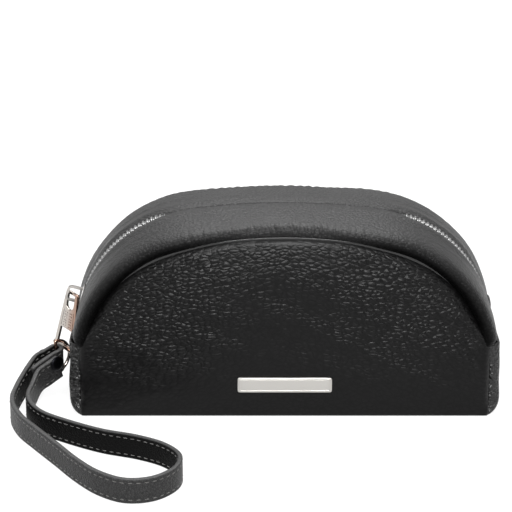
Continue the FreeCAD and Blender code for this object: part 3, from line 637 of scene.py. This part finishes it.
def panel_surface(name, side, sizes, seed):
    """The leather of a panel: its rings, with rows of pebbles that fall away to both sides of the
    middle. The relief attribute is greatest at the shoulders and small near the foot."""
    x, depth, z, inward = panel_rings(sizes, seed, 1.0, 96)
    fall = z + ROW_FALL * np.abs(x) + 1.1 * waves(x, seed + 2, 6, 14, 40)
    drift = x + 1.3 * waves(z + 0.4 * x, seed + 3, 6, 12, 34)
    patchy = 0.8 + 0.3 * waves(x + 2 * z, seed + 4, 5, 18, 50)
    relief = smoothstep(4, 56, z) * (0.3 + 0.7 * smoothstep(10, 62, np.abs(x)))
    relief = (0.2 + 0.8 * relief * smoothstep(1.5, 8, inward)) * patchy
    rough = pebbles(drift / 3.1, fall / 2.0, seed) * sizes.pebble_height * relief
    rough = rough * smoothstep(2, 7, inward)
    piece = panel_disc(name, side, x, depth + rough, z)
    store(piece, "relief", np.append(relief, relief[0].mean()))
    modify(piece, "SOLIDIFY", "leather", thickness=PANEL_LEATHER * MM, offset=-1)
    return piece


def panel_layer(name, side, sizes, seed, reach, below, thickness):
    """A layer behind a panel's leather: the same rings, drawn in by reach and set back by below mm."""
    x, depth, z = panel_rings(sizes, seed, reach, 40)[:3]
    z = np.maximum(z, 2.2 + below * 0.4)
    piece = panel_disc(name, side, x[:, ::3], (depth - below)[:, ::3], z[:, ::3])
    modify(piece, "SOLIDIFY", "layer", thickness=thickness * MM, offset=-1)
    return piece


def lip_distance(x, sizes):
    """Zip's middle to the roof strip's edge: nearly shut over the crown, open at the shoulders."""
    return 1.15 + (sizes.lip_gap - 1.15) * smoothstep(50, 68, np.abs(x))


def roof_surface(name, side, sizes, seed):
    """One roof strip. Across it, a point leaves the seam behind the panel's rolled edge, climbs a
    rounded quarter out of the valley, swells into a soft roll that leans forward over the panel's
    shoulder, rises in a shallow camber to the zip and turns down at its lip. Along it, the path goes
    from the panel's outline to the roof's edge and then to its ridge. Small puckers ripple the seam
    over the crown. A point attribute holds painted shade: one in the crease beside the seam, where
    the material darkens the leather's colour and reflections by it."""
    foot = 30.0
    count = 380
    ridge = resample(ROOF.path(0.0, foot), count)
    brow = resample(ROOF_EDGE.path(0.0, foot), count)
    low = resample(PANEL.path(0.0, foot), count)
    out = sideways(brow)
    shoulder = smoothstep(14, 62, np.abs(brow[:, 0]))[None, :]
    across = np.linspace(0, 1, 76)[:, None] ** 1.15
    climb = np.clip(across / 0.26, 0, 1)
    rise = np.sin(climb * math.pi / 2) ** 0.8
    camber = np.sin(np.clip((across - 0.2) / 0.72, 0, 1) * math.pi / 2) ** 1.1
    lip = lip_distance(ridge[:, 0], sizes)[None, :]
    roll = edge_radius(low[:, 0], low[:, 1], sizes)[None, :]
    seam = DEPTH - PANEL_LEATHER - roll - 0.3 - LEAN * low[None, :, 1]
    ahead = (0.8 + 8.6 * shoulder) * np.sin(math.pi * np.clip(across / 0.36, 0, 1)) ** 1.2
    ahead = ahead * (0.25 + 0.75 * smoothstep(foot + 2, foot + 24, brow[None, :, 1]))
    knee = seam - 4.0
    flat = np.clip((across - 0.26) / 0.66, 0, 1)
    depth = seam - (seam - knee) * (1 - np.cos(climb * math.pi / 2)) - (knee - lip) * flat + ahead
    turned = np.clip((across - 0.92) / 0.08, 0, 1)
    inset = 1.0 + 5.0 * shoulder
    puff = (sizes.roof_puff * shoulder + 0.1) * np.exp(-((across - 0.32) / 0.2) ** 2)
    puff = puff - (0.45 + 0.5 * shoulder) * smoothstep(0.74, 0.92, across) - 1.5 * turned - inset * (1 - rise)
    end = smoothstep(foot + 9, foot + 4, brow[None, :, 1])
    puff = puff - end * (1.6 + 2.8 * np.exp(-(across / 0.3) ** 2))
    run = np.arange(count) * np.linalg.norm(np.diff(brow, axis=0), axis=1).mean()
    pucker = waves(run[None, :] + across * 6, seed, 7, 3.2, 7.0)
    pucker = pucker * 0.5 * np.exp(-((across - 0.16) / 0.1) ** 2)
    pucker = pucker * (0.2 + 0.8 * smoothstep(72, 30, np.abs(brow[None, :, 0])))
    sag = 0.4 * waves(run[None, :] + across * 20, seed + 5, 5, 30, 80) * np.sin(math.pi * across)
    grain = 0.16 * pebbles(run[None, :] / 2.6 + 0 * across, depth / 2.2, seed + 9)
    grain = grain * smoothstep(0.1, 0.3, across)
    level = puff + pucker + sag + grain
    path = low[None] * (1 - rise)[..., None] + brow[None] * rise[..., None]
    path = path + (ridge - brow)[None] * camber[..., None] + out[None] * level[..., None]
    piece = surface(name, path[..., 0], side * depth, path[..., 1], flip=side > 0)
    # Painted shade for the crease beside the seam: full at the seam, fading across the strip, strongest at
    # the shoulders.
    seam_shade = (1 - smoothstep(0.1, 0.24 + 0.08 * shoulder, across)) * (0.45 + 0.55 * shoulder)
    store(piece, "seam_shade", seam_shade)
    modify(piece, "SOLIDIFY", "leather", thickness=THIN_LEATHER * MM, offset=-1)
    return piece


def end_surface(name, side, sizes, seed):
    """An end panel: from seam to seam it bulges twice with a shallow crease between, curves under at
    the foot, and at its top edge folds over in a half circle and runs back down inside."""
    wide = np.linspace(-1, 1, 110)[None, :]
    top = 35.4
    fold = 0.8
    outer = np.linspace(0, top, 56)
    turn = np.linspace(0, math.pi, 9)[1:]
    inner = np.linspace(top, top - 9, 8)[1:]
    z = np.concatenate([outer, top + fold * np.sin(turn), inner])[:, None]
    inset = np.concatenate([outer * 0, fold * (1 - np.cos(turn)), inner * 0 + 2 * fold])[:, None]
    roll = edge_radius(0.0, np.clip(z, 0, top), sizes)
    depth = wide * (DEPTH - PANEL_LEATHER - roll + 0.5 - LEAN * np.clip(z, 0, top))
    near_seam = 1 - np.abs(wide)
    bulge = 6.6 * (1 - (1 - np.clip(near_seam / 0.16, 0, 1)) ** 2.4) ** 0.6
    crease = 3.4 * np.exp(-(wide / 0.34) ** 2) * smoothstep(0, 14, z)
    under = np.clip((7.0 - z) / 7.0, 0, 1)
    foot = 0.85 * bulge * (1 - np.sqrt(1 - under ** 2))
    wobble = 0.35 * waves(z + wide * 9, seed, 5, 12, 34) * np.clip(near_seam * 6, 0, 1) * np.clip(z / 8, 0, 1)
    tight = 0.4 * smoothstep(10, 34, z)
    x = panel_high[0] - 1.1 + bulge - crease - foot + wobble - inset - tight + 0 * wide
    z = z + 0 * wide
    piece = surface(name, side * x, depth, z, flip=side > 0)
    modify(piece, "SOLIDIFY", "leather", thickness=THIN_LEATHER * MM, offset=-1)
    return piece


def stitch_shape(length, radius):
    """A short thread lying along its first axis: an eight-sided barrel that thins at both ends."""
    along = np.array([-0.5, -0.38, 0.0, 0.38, 0.5]) * length
    thick = np.array([0.25, 0.8, 1.0, 0.8, 0.25]) * radius
    ring = np.stack([np.zeros(8), *ring_points(8)], -1)
    points = ring[None] * thick[:, None, None] + np.stack([along, along * 0, along * 0], -1)[:, None, :]
    return points.reshape(-1, 3), grid_faces(5, 8, wrap_columns=True)


class MAKEUPBAG_OT_panels(bpy.types.Operator):
    """Build the swelling front and back panels with their padding and lining"""
    bl_idname = "makeup_bag.panels"
    bl_label = "Front and back panels"

    def execute(self, context):
        sizes = context.scene.makeup_bag_sizes
        for side, name, seed in ((-1, "front", 11), (1, "back", 23)):
            piece = panel_surface("leather_" + name, side, sizes, seed)
            finish_piece(piece, "bag", "body_leather", MATERIALS["body"], name + "_panel")
            piece = panel_layer("foam_" + name, side, sizes, seed, 0.9, 1.9, 1.0)
            finish_piece(piece, "bag", "padding", MATERIALS["padding"], name + "_padding")
            piece = panel_layer("cloth_" + name, side, sizes, seed, 0.93, 3.1, 0.5)
            finish_piece(piece, "bag", "lining_cloth", MATERIALS["lining"], name + "_lining")
        return {"FINISHED"}


class MAKEUPBAG_OT_roof(bpy.types.Operator):
    """Build the two soft roof strips and the stitches beside the zip"""
    bl_idname = "makeup_bag.roof"
    bl_label = "Roof strips"

    def execute(self, context):
        sizes = context.scene.makeup_bag_sizes
        for side, name, seed in ((-1, "front", 31), (1, "back", 47)):
            piece = roof_surface("roof_leather_" + name, side, sizes, seed)
            finish_piece(piece, "bag", "roof_leather", MATERIALS["roof"], "roof_strip_" + name)
            self.stitches(name, side, sizes)
        return {"FINISHED"}

    def stitches(self, name, side, sizes):
        """A row of stitches along the roof strip's lip."""
        path = ROOF.path(0.35, 40.0, 2.6)
        places, axes = arch_places(path, side * (lip_distance(path[:, 0], sizes) + 1.5))
        points, faces = stitch_shape(1.9, 0.2)
        piece = copies("roof_stitches_" + name, points, faces, places, axes)
        finish_piece(piece, "bag", "zip_tape", MATERIALS["thread"])


class MAKEUPBAG_OT_ends(bpy.types.Operator):
    """Build the two creased end panels and the base"""
    bl_idname = "makeup_bag.ends"
    bl_label = "End panels and base"

    def execute(self, context):
        sizes = context.scene.makeup_bag_sizes
        for side, name, seed in ((-1, "left", 61), (1, "right", 67)):
            piece = end_surface("end_leather_" + name, side, sizes, seed)
            finish_piece(piece, "bag", "body_leather", MATERIALS["end"], name + "_end_panel")
        self.base()
        return {"FINISHED"}

    def base(self):
        """The base: rings from a rounded oblong edge to its middle, turned up a little at the edge."""
        high = node_box("base_panel")[1]
        cosine, sine = ring_points(200)
        share = np.linspace(0, 1, 24)[:, None]
        reach = (np.abs(cosine) ** 8 + np.abs(sine) ** 8) ** (-1 / 8)
        x = (high[0] - 2.2) * share * reach * cosine
        y = (high[1] - 3.4) * share * reach * sine
        z = 0.3 + 1.6 * smoothstep(0.93, 1.0, share) + 0 * cosine
        piece = surface("leather_base", x, y, z, wrap_columns=True)
        recalculate(piece, merge=True)
        modify(piece, "SOLIDIFY", "leather", thickness=PANEL_LEATHER * MM, offset=1)
        finish_piece(piece, "bag", "body_leather", MATERIALS["end"], "base_panel")


# ---------------------------------------------------------------- zip
class MAKEUPBAG_OT_teeth(bpy.types.Operator):
    """Build the two interlocking rows of metal teeth"""
    bl_idname = "makeup_bag.teeth"
    bl_label = "Zip teeth"

    def execute(self, context):
        sizes = context.scene.makeup_bag_sizes
        pitch = sizes.tooth_pitch
        foot = node_box("zip_teeth_front")[0][2] - 4.0
        path = ROOF.path(0.9, foot, pitch / 2)
        path[:, 1] -= 1.5 * smoothstep(66, 50, np.abs(path[:, 0]))
        places, axes = arch_places(path, 0)
        for side, name, first in ((-1, "front", 0), (1, "back", 1)):
            points, faces = self.tooth(side, pitch)
            piece = copies("zip_metal_" + name, points, faces, places[first::2], axes[first::2])
            recalculate(piece, merge=True)
            finish_piece(piece, "bag", "zip_metal", MATERIALS["zip"], "zip_teeth_" + name)
        return {"FINISHED"}

    def tooth(self, side, pitch):
        """A tooth: rounded sections along Y that widen from the clamped foot to the hooked tip."""
        depth = np.array([2.9, 2.7, 1.5, 0.6, -0.3, -0.9, -1.05]) * side
        wide = np.array([0.55, 0.78, 0.8, 0.62, 0.8, 0.62, 0.3]) * pitch * 0.36
        tall = np.array([0.7, 1.0, 1.05, 0.85, 1.0, 0.85, 0.4]) * 1.05
        angle = np.linspace(0, 2 * math.pi, 10, endpoint=False) + math.pi / 10
        cosine, sine = np.cos(angle), np.sin(angle)
        square_x = np.sign(cosine) * np.abs(cosine) ** 0.5
        square_z = np.sign(sine) * np.abs(sine) ** 0.5
        points = np.stack([
            wide[:, None] * square_x, depth[:, None] + 0 * square_x, tall[:, None] * square_z], -1)
        points = points.reshape(-1, 3)
        faces = grid_faces(7, 10, wrap_columns=True)
        caps = np.array([[0, 1, 2, 3], [0, 3, 4, 9], [4, 5, 8, 9], [5, 6, 7, 8]])
        return points, np.vstack([faces, caps, caps[:, ::-1] + 60])


class MAKEUPBAG_OT_inside(bpy.types.Operator):
    """Give the lining, padding, tapes and stops their own materials"""
    bl_idname = "makeup_bag.inside"
    bl_label = "Lining and tapes"

    def execute(self, context):
        kinds = (("lining", "lining"), ("padding", "padding"), ("stiffener", "board"), ("binding", "tape"),
                 ("tape", "tape"), ("stop", "zip"), ("prongs", "nickel"), ("washers", "nickel"),
                 ("slider", "bright"), ("ring", "bright"), ("rivet_post", "bright"), ("rivet_back", "black"))
        for name, node in frame["nodes"].items():
            for word, material in kinds:
                if word in name:
                    for slot in node.material_slots:
                        slot.material = MATERIALS[material]
                    break
        return {"FINISHED"}


# ---------------------------------------------------------------- metal pieces
def plate_from_outline(name, outlines, thickness, bevel, frame_axes, origin):
    """A flat plate with holes: closed outlines in its own plane, filled, thickened and bevelled,
    then set in place. frame_axes holds its across, up and face directions."""
    curve = bpy.data.curves.new(name, "CURVE")
    curve.dimensions = "2D"
    curve.fill_mode = "BOTH"
    curve.extrude = (thickness / 2 - bevel) * MM
    curve.bevel_depth = bevel * MM
    curve.bevel_resolution = 3
    curve.offset = -bevel * MM
    for outline in outlines:
        spline = curve.splines.new("POLY")
        spline.points.add(len(outline) - 1)
        flat = np.hstack([np.asarray(outline) * MM, np.zeros((len(outline), 1)), np.ones((len(outline), 1))])
        spline.points.foreach_set("co", flat.ravel())
        spline.use_cyclic_u = True
    holder = bpy.data.objects.new(name + "_outline", curve)
    bpy.context.collection.objects.link(holder)
    bpy.context.view_layer.update()
    mesh = bpy.data.meshes.new_from_object(holder.evaluated_get(bpy.context.evaluated_depsgraph_get()))
    mesh.name = name
    bpy.data.objects.remove(holder)
    points = np.zeros(len(mesh.vertices) * 3)
    mesh.vertices.foreach_get("co", points)
    placed = points.reshape(-1, 3) @ np.asarray(frame_axes) + np.asarray(origin) * MM
    mesh.vertices.foreach_set("co", placed.ravel())
    piece = bpy.data.objects.new(name, mesh)
    bpy.context.collection.objects.link(piece)
    recalculate(piece, merge=True)
    return piece


def rounded(points, radius, steps=6):
    """A closed outline with each corner replaced by a short arc-like curve."""
    points = np.asarray(points, float)
    before = unit(np.roll(points, 1, 0) - points) * radius
    after = unit(np.roll(points, -1, 0) - points) * radius
    share = np.linspace(0, 1, steps)[:, None, None]
    start, end = points + before, points + after
    curve = (1 - share) ** 2 * start + 2 * share * (1 - share) * points + share ** 2 * end
    return curve.transpose(1, 0, 2).reshape(-1, 2)


def oblong(half, tall):
    """Corners of an upright oblong, from its half width and half height."""
    return [(-half, -tall), (half, -tall), (half, tall), (-half, tall)]


def bar_shape(name, start, end, radius):
    """A round bar with softly rounded ends, its radius shrinking in a quarter circle at each end."""
    start, end = np.asarray(start, float), np.asarray(end, float)
    axis = unit(end - start)
    length = np.linalg.norm(end - start)
    soft = radius * 0.35
    angle = np.linspace(0, math.pi / 2, 5)
    along = np.concatenate([soft * (1 - np.cos(angle)), length - soft * (1 - np.cos(angle[::-1]))])
    thick = np.concatenate([radius - soft + soft * np.sin(angle), radius - soft + soft * np.sin(angle[::-1])])
    side = unit(np.cross(axis, [0.3, 0.2, 1.0]))
    other = np.cross(axis, side)
    cosine, sine = ring_points(28)
    ring = cosine[:, None] * side + sine[:, None] * other
    return tube(name, start + along[:, None] * axis, thick[:, None, None] * ring[None], False)


def join(pieces):
    """Make one object of several."""
    bpy.ops.object.select_all(action="DESELECT")
    for piece in pieces:
        piece.select_set(True)
    bpy.context.view_layer.objects.active = pieces[0]
    bpy.ops.object.join()
    return pieces[0]


def puller_axes():
    """Across, up and face directions of the puller, from its hinge, its bar and the ring's axis."""
    pin, bar = joint_place("puller_swing"), joint_place("ring_swing")
    up = unit(pin - bar)
    across = -np.array(JOINTS["ring_swing"]["axis"], float)
    across = unit(across - up * (across @ up))
    return across, up, np.cross(across, up), pin, np.linalg.norm(pin - bar)


class MAKEUPBAG_OT_ring(bpy.types.Operator):
    """Build the ring that joins the puller and the strap"""
    bl_idname = "makeup_bag.ring"
    bl_label = "Strap ring"

    def execute(self, context):
        """The ring: a straight side for the strap and a half circle round the bar, with its two
        corners eased, and a round wire carried along it."""
        radius = 8.5
        angle = np.linspace(math.pi / 2, 3 * math.pi / 2, 90)
        bow = np.stack([radius * np.cos(angle), radius * np.sin(angle)], -1)
        side = np.stack([np.zeros(40), np.linspace(-radius, radius, 40)], -1)[1:-1]
        path = softened(resample(np.vstack([bow, side, bow[:1]]), 181)[:-1], 9)
        centre = RING - UPRIGHT * STRAP_DROP + path[:, :1] * FLAT + path[:, 1:] * UPRIGHT
        outward = np.cross(tangents(centre, closed=True), BESIDE)
        piece = tube("ring_wire", centre, wire_sections(RING_WIRE, outward, BESIDE, 20), True)
        recalculate(piece, merge=True)
        finish_piece(piece, "ring", "polished_metal", MATERIALS["puller"], "strap_ring")
        return {"FINISHED"}


class MAKEUPBAG_OT_puller(bpy.types.Operator):
    """Build the puller with its arched window, studded panel, lower window and bar"""
    bl_idname = "makeup_bag.puller"
    bl_label = "Zip puller"

    def execute(self, context):
        across, up, face, pin, length = puller_axes()
        axes = [across, up, face]
        head, foot = 4.2, 7.2
        outer = rounded([(-head, 0.6), (head, 0.6), (foot, 0.2 - length), (-foot, 0.2 - length)], 0.9)
        arch = np.linspace(0, math.pi, 20)
        window = np.vstack([
            np.stack([2.6 * np.cos(arch), -6.4 - 2.6 * np.sin(arch)], -1),
            [[-2.6, -0.8], [2.6, -0.8]]])
        lower = rounded([(-4.2, -19.6), (4.2, -19.6), (5.0, 1.3 - length), (-5.0, 1.3 - length)], 0.5)
        parts = [plate_from_outline("puller_metal", [outer, window[::-1], lower[::-1]], 1.5, 0.28, axes, pin)]
        for side in (-1, 1):
            skin = pin + face * side * 0.72
            for row in (-1, 1):
                for step in range(6):
                    middle = skin + up * (-10.9 - step * 1.45) + across * row * (1.7 + step * 0.06)
                    parts.append(bar_shape("stud", middle - across * 0.85, middle + across * 0.85, 0.36))
            for edge in (-1, 1):
                start = skin - up * 9.9 + across * edge * 3.6
                parts.append(bar_shape("rim", start, start - up * 9.0 + across * edge * 0.75, 0.24))
        parts.append(bar_shape("pin", pin - across * head, pin + across * head, 0.72))
        bar = pin - up * length
        parts.append(bar_shape("bar", bar - across * 7.75, bar + across * 7.75, 1.3))
        piece = join(parts)
        finish_piece(piece, "puller", "satin_nickel", MATERIALS["puller"], "zip_puller")
        return {"FINISHED"}


class MAKEUPBAG_OT_name_plate(bpy.types.Operator):
    """Build the plain name plate with its fine raised border"""
    bl_idname = "makeup_bag.name_plate"
    bl_label = "Name plate"

    def execute(self, context):
        low, high = node_box("name_plate")
        middle = (low + high) / 2
        up = unit(np.array([0.0, LEAN, 1.0]))
        axes = [np.array([1.0, 0, 0]), up, np.cross([1.0, 0, 0], up)]
        half = (high[0] - low[0]) / 2
        tall = (high[2] - low[2]) / 2
        sizes = context.scene.makeup_bag_sizes
        origin = np.array([middle[0], -DEPTH + LEAN * middle[2] - sizes.panel_crown * 0.62, middle[2]])
        outer = rounded(oblong(half, tall), 1.3)
        plate = plate_from_outline("name_plate_metal", [outer], 1.0, 0.3, axes, origin)
        rim = rounded(oblong(half - 1, tall - 1), 0.9)
        path = origin + rim[:, :1] * axes[0] + rim[:, 1:] * axes[1] + axes[2] * 0.5
        along = tangents(path, closed=True)
        border = tube("border", path, wire_sections(0.16, np.cross(along, axes[2]), axes[2], 8), True)
        piece = join([plate, border])
        finish_piece(piece, "bag", "satin_nickel", MATERIALS["nickel"], "name_plate")
        return {"FINISHED"}


# ---------------------------------------------------------------- strap
STRAP_DROP = 1.5
STRAP_LOOP = [
    (-131.5, -28), (-132.5, -44), (-127.5, -60), (-118.5, -74.5), (-107.5, -91), (-97, -107),
    (-86, -120), (-73.5, -127.5), (-60.5, -125.5), (-51, -115.5), (-49.5, -103), (-57, -92),
    (-70, -84), (-87, -77.5), (-104, -67.5), (-116.5, -58), (-123, -48), (-125.5, -37), (-124, -26.5),
]


def strap_point(along, sideways_by):
    """A point in plan, measured from the ring's straight side."""
    return (RING + FLAT * along + BESIDE * sideways_by)[:2]


class MAKEUPBAG_OT_strap(bpy.types.Operator):
    """Build the wrist strap, its four rows of stitches and its rivet"""
    bl_idname = "makeup_bag.strap"
    bl_label = "Wrist strap"

    def execute(self, context):
        sizes = context.scene.makeup_bag_sizes
        half = sizes.strap_thickness / 2
        fold = RING_WIRE + 0.35 + half
        inner = fold + sizes.strap_thickness + 0.15
        angle = np.linspace(math.pi / 2, -math.pi / 2, 9)
        turn = [strap_point(-fold * math.cos(a), fold * math.sin(a)) for a in angle]
        points = [strap_point(16, fold - 0.1), strap_point(11, fold - 0.3), strap_point(5.5, fold - 0.2)]
        points += turn + [strap_point(5.5, -fold + 0.1), strap_point(12, -fold + 0.2)]
        points += [np.array(point, float) for point in STRAP_LOOP]
        points += [strap_point(15.5, inner + 0.2), strap_point(9, inner), strap_point(2.5, inner)]
        plan = smooth_path(points, 0.9)
        wide = sizes.strap_width / 2
        path = np.column_stack([plan, self.level(plan, wide)])
        along = tangents(path)
        face = unit(np.cross(along, UPRIGHT))
        up = unit(np.cross(face, along))
        piece = self.ribbon(path, face, up, wide, half)
        finish_piece(piece, "strap", "strap_leather", MATERIALS["strap"], "wrist_strap")
        self.stitches(path, along, face, up, wide, half, sizes.stitch_pitch)
        self.rivet()
        return {"FINISHED"}

    def level(self, plan, wide):
        """Height of the strap's middle: level at the ring, then an easy slope down to the floor."""
        top = RING[2] - STRAP_DROP
        return wide + 0.02 + (top - wide) * (1 - smoothstep(-3, 34, -plan[:, 1]))

    def ribbon(self, path, face, up, wide, half):
        """The strap's section, a flat oblong with round painted edges and a shallow groove along each
        row of stitches, carried along its path. The edge attribute is one on the painted edges, and the
        inner attribute on the inner face."""
        flat = np.linspace(-1, 1, 25)
        groove = 0.16 * np.exp(-((np.abs(flat) * wide - (wide - 2.0)) / 0.45) ** 2)
        edge_round = half * (1 - np.clip((np.abs(flat) - 0.93) / 0.07, 0, 1) ** 2 * 0.45)
        outer = np.stack([flat * wide, edge_round - groove], -1)
        inner = np.stack([flat[::-1] * wide, -(edge_round - groove)[::-1]], -1)
        section = np.vstack([outer, inner])
        mark = (np.abs(section[:, 0]) > wide * 0.955).astype(float)
        sections = section[None, :, :1] * up[:, None, :] + section[None, :, 1:] * face[:, None, :]
        piece = tube("strap_leather_loop", path, sections, False)
        store(piece, "edge", np.tile(mark, len(path)))
        store(piece, "inner", np.tile((section[:, 1] < 0).astype(float), len(path)))
        recalculate(piece)
        return piece

    def stitches(self, path, along, face, up, wide, half, pitch):
        """Two rows of stitches on each face of the strap."""
        step = np.linalg.norm(np.diff(path, axis=0), axis=1).mean()
        every = max(1, int(round(pitch / step)))
        chosen = np.arange(6, len(path) - 4, every)
        points, faces = stitch_shape(pitch * 0.62, 0.24)
        places, axes = [], []
        for row in (wide - 2.0, 2.0 - wide):
            for side in (-1, 1):
                places.append(path[chosen] + up[chosen] * row + face[chosen] * side * (half - 0.08))
                axes.append(np.stack([along[chosen], up[chosen], face[chosen]], 1))
        piece = copies("strap_stitches", points, faces, np.vstack(places), np.vstack(axes))
        finish_piece(piece, "strap", "strap_leather", MATERIALS["strap_thread"])

    def rivet(self):
        """A low dome on the strap's inner end: a profile turned round the rivet's axis."""
        low, high = node_box("strap_rivet_cap")
        centre = (low + high) / 2
        radius = np.array([0.02, 1.2, 2.3, 3.2, 3.8, 4.0, 3.9, 0.02])
        rise = np.array([0.95, 0.92, 0.78, 0.5, 0.15, -0.25, -0.5, -0.5])
        cosine, sine = ring_points(40)
        ring = cosine[:, None] * FLAT + sine[:, None] * UPRIGHT
        centres = centre + rise[:, None] * BESIDE
        piece = tube("rivet_dome", centres, radius[:, None, None] * ring[None], False)
        recalculate(piece, merge=True)
        finish_piece(piece, "strap", "black_metal", MATERIALS["black"], "strap_rivet_cap")


# ---------------------------------------------------------------- stage
class MAKEUPBAG_OT_stage(bpy.types.Operator):
    """Lay a pale floor, soft lights and the camera"""
    bl_idname = "makeup_bag.stage"
    bl_label = "Floor, lights and camera"

    def execute(self, context):
        scene = context.scene
        scene.view_settings.view_transform = "Standard"
        corners = [(x, y, -0.05) for x, y in oblong(6000.0, 6000.0)]
        floor = add_mesh("floor", corners, [[0, 1, 2, 3]], smooth=False)
        material, _, shader = node_material("pale_floor", (0.2, 0.2, 0.2, 1), 0.9)
        shader.inputs["Specular IOR Level"].default_value = 0.1
        shader.inputs["Emission Color"].default_value = (1, 1, 1, 1)
        shader.inputs["Emission Strength"].default_value = 0.78
        floor.data.materials.append(material)
        self.world(scene)
        self.light("overhead", (0.0, 0.28, 0.85), (0, 0, 0.03), 0.75, 10.0)
        self.light("front", (0.0, -1.1, 0.78), (0, 0, 0.04), 0.55, 24.0)
        self.light("left", (-1.0, -0.35, 0.5), (-0.05, 0, 0.04), 0.45, 3.0)
        self.light("right", (1.0, -0.35, 0.5), (0.05, 0, 0.04), 0.45, 3.0)
        self.camera(scene)
        return {"FINISHED"}

    def world(self, scene):
        """Soft room light: bright overhead and behind, dim at the horizon in front."""
        world = bpy.data.worlds.new("studio")
        scene.world = world
        world.use_nodes = True
        tree = world.node_tree
        background = tree.nodes["Background"]
        place = new_node(tree, "ShaderNodeTexCoord")
        split = new_node(tree, "ShaderNodeSeparateXYZ")
        tree.links.new(place.outputs["Generated"], split.inputs[0])
        mixed = maths(tree, "ADD", split.outputs["Z"], maths(tree, "MULTIPLY", split.outputs["Y"], 0.35))
        ramp = new_node(tree, "ShaderNodeMapRange")
        ramp.inputs["From Min"].default_value = -0.2
        ramp.inputs["From Max"].default_value = 1.0
        ramp.inputs["To Min"].default_value = 0.12
        ramp.inputs["To Max"].default_value = 1.0
        tree.links.new(mixed, ramp.inputs["Value"])
        tree.links.new(ramp.outputs[0], background.inputs["Strength"])
        background.inputs["Color"].default_value = (1, 1, 1, 1)

    def light(self, name, place, target, size, power):
        """A square soft light at a place, turned to its target; metres and watts."""
        data = bpy.data.lights.new(name, "AREA")
        data.size = size
        data.energy = power
        lamp = bpy.data.objects.new(name, data)
        lamp.location = place
        aim = Vector(target) - Vector(place)
        lamp.rotation_euler = aim.to_track_quat("-Z", "Y").to_euler()
        bpy.context.collection.objects.link(lamp)

    def camera(self, scene):
        """A long lens in front of the bag, looking down at it."""
        elevation = math.radians(22.0)
        distance = 1140.0
        forward = np.array([0, math.cos(elevation), -math.sin(elevation)])
        up = np.array([0, math.sin(elevation), math.cos(elevation)])
        middle = np.array([-14.0, 0.0, 45.0]) + up * 22.6
        data = bpy.data.cameras.new("camera")
        data.sensor_width = 36.0
        data.lens = 160.7
        data.clip_start = 0.05
        data.clip_end = 50.0
        camera = bpy.data.objects.new("camera", data)
        camera.location = (middle - forward * distance) * MM
        camera.rotation_euler = (math.pi / 2 - elevation, 0, 0)
        bpy.context.collection.objects.link(camera)
        scene.camera = camera


class VIEW3D_PT_makeup_bag(bpy.types.Panel):
    """Lists the bag's settings and builders"""
    bl_label = "Makeup bag"
    bl_space_type = "VIEW_3D"
    bl_region_type = "UI"
    bl_category = "Bag"

    def draw(self, context):
        layout = self.layout
        for group in (context.scene.makeup_bag_sizes, context.scene.makeup_bag_colours):
            for name in group.bl_rna.properties.keys():
                if name not in ("rna_type", "name"):
                    layout.prop(group, name)
        for operator in OPERATORS:
            layout.operator(operator.bl_idname)


OPERATORS = (
    MAKEUPBAG_OT_stage, MAKEUPBAG_OT_panels, MAKEUPBAG_OT_roof, MAKEUPBAG_OT_ends, MAKEUPBAG_OT_teeth,
    MAKEUPBAG_OT_inside, MAKEUPBAG_OT_puller, MAKEUPBAG_OT_ring, MAKEUPBAG_OT_name_plate, MAKEUPBAG_OT_strap,
)
CLASSES = (MakeupBagSizes, MakeupBagColours) + OPERATORS + (VIEW3D_PT_makeup_bag,)


def register():
    for item in CLASSES:
        bpy.utils.register_class(item)
    bpy.types.Scene.makeup_bag_sizes = bpy.props.PointerProperty(type=MakeupBagSizes)
    bpy.types.Scene.makeup_bag_colours = bpy.props.PointerProperty(type=MakeupBagColours)


def unregister():
    del bpy.types.Scene.makeup_bag_sizes
    del bpy.types.Scene.makeup_bag_colours
    for item in reversed(CLASSES):
        bpy.utils.unregister_class(item)


def main():
    register()
    make_materials(bpy.context.scene.makeup_bag_colours)
    for operator in OPERATORS:
        family, name = operator.bl_idname.split(".")
        getattr(getattr(bpy.ops, family), name)()
    bpy.context.view_layer.update()


if __name__ == "__main__":
    main()
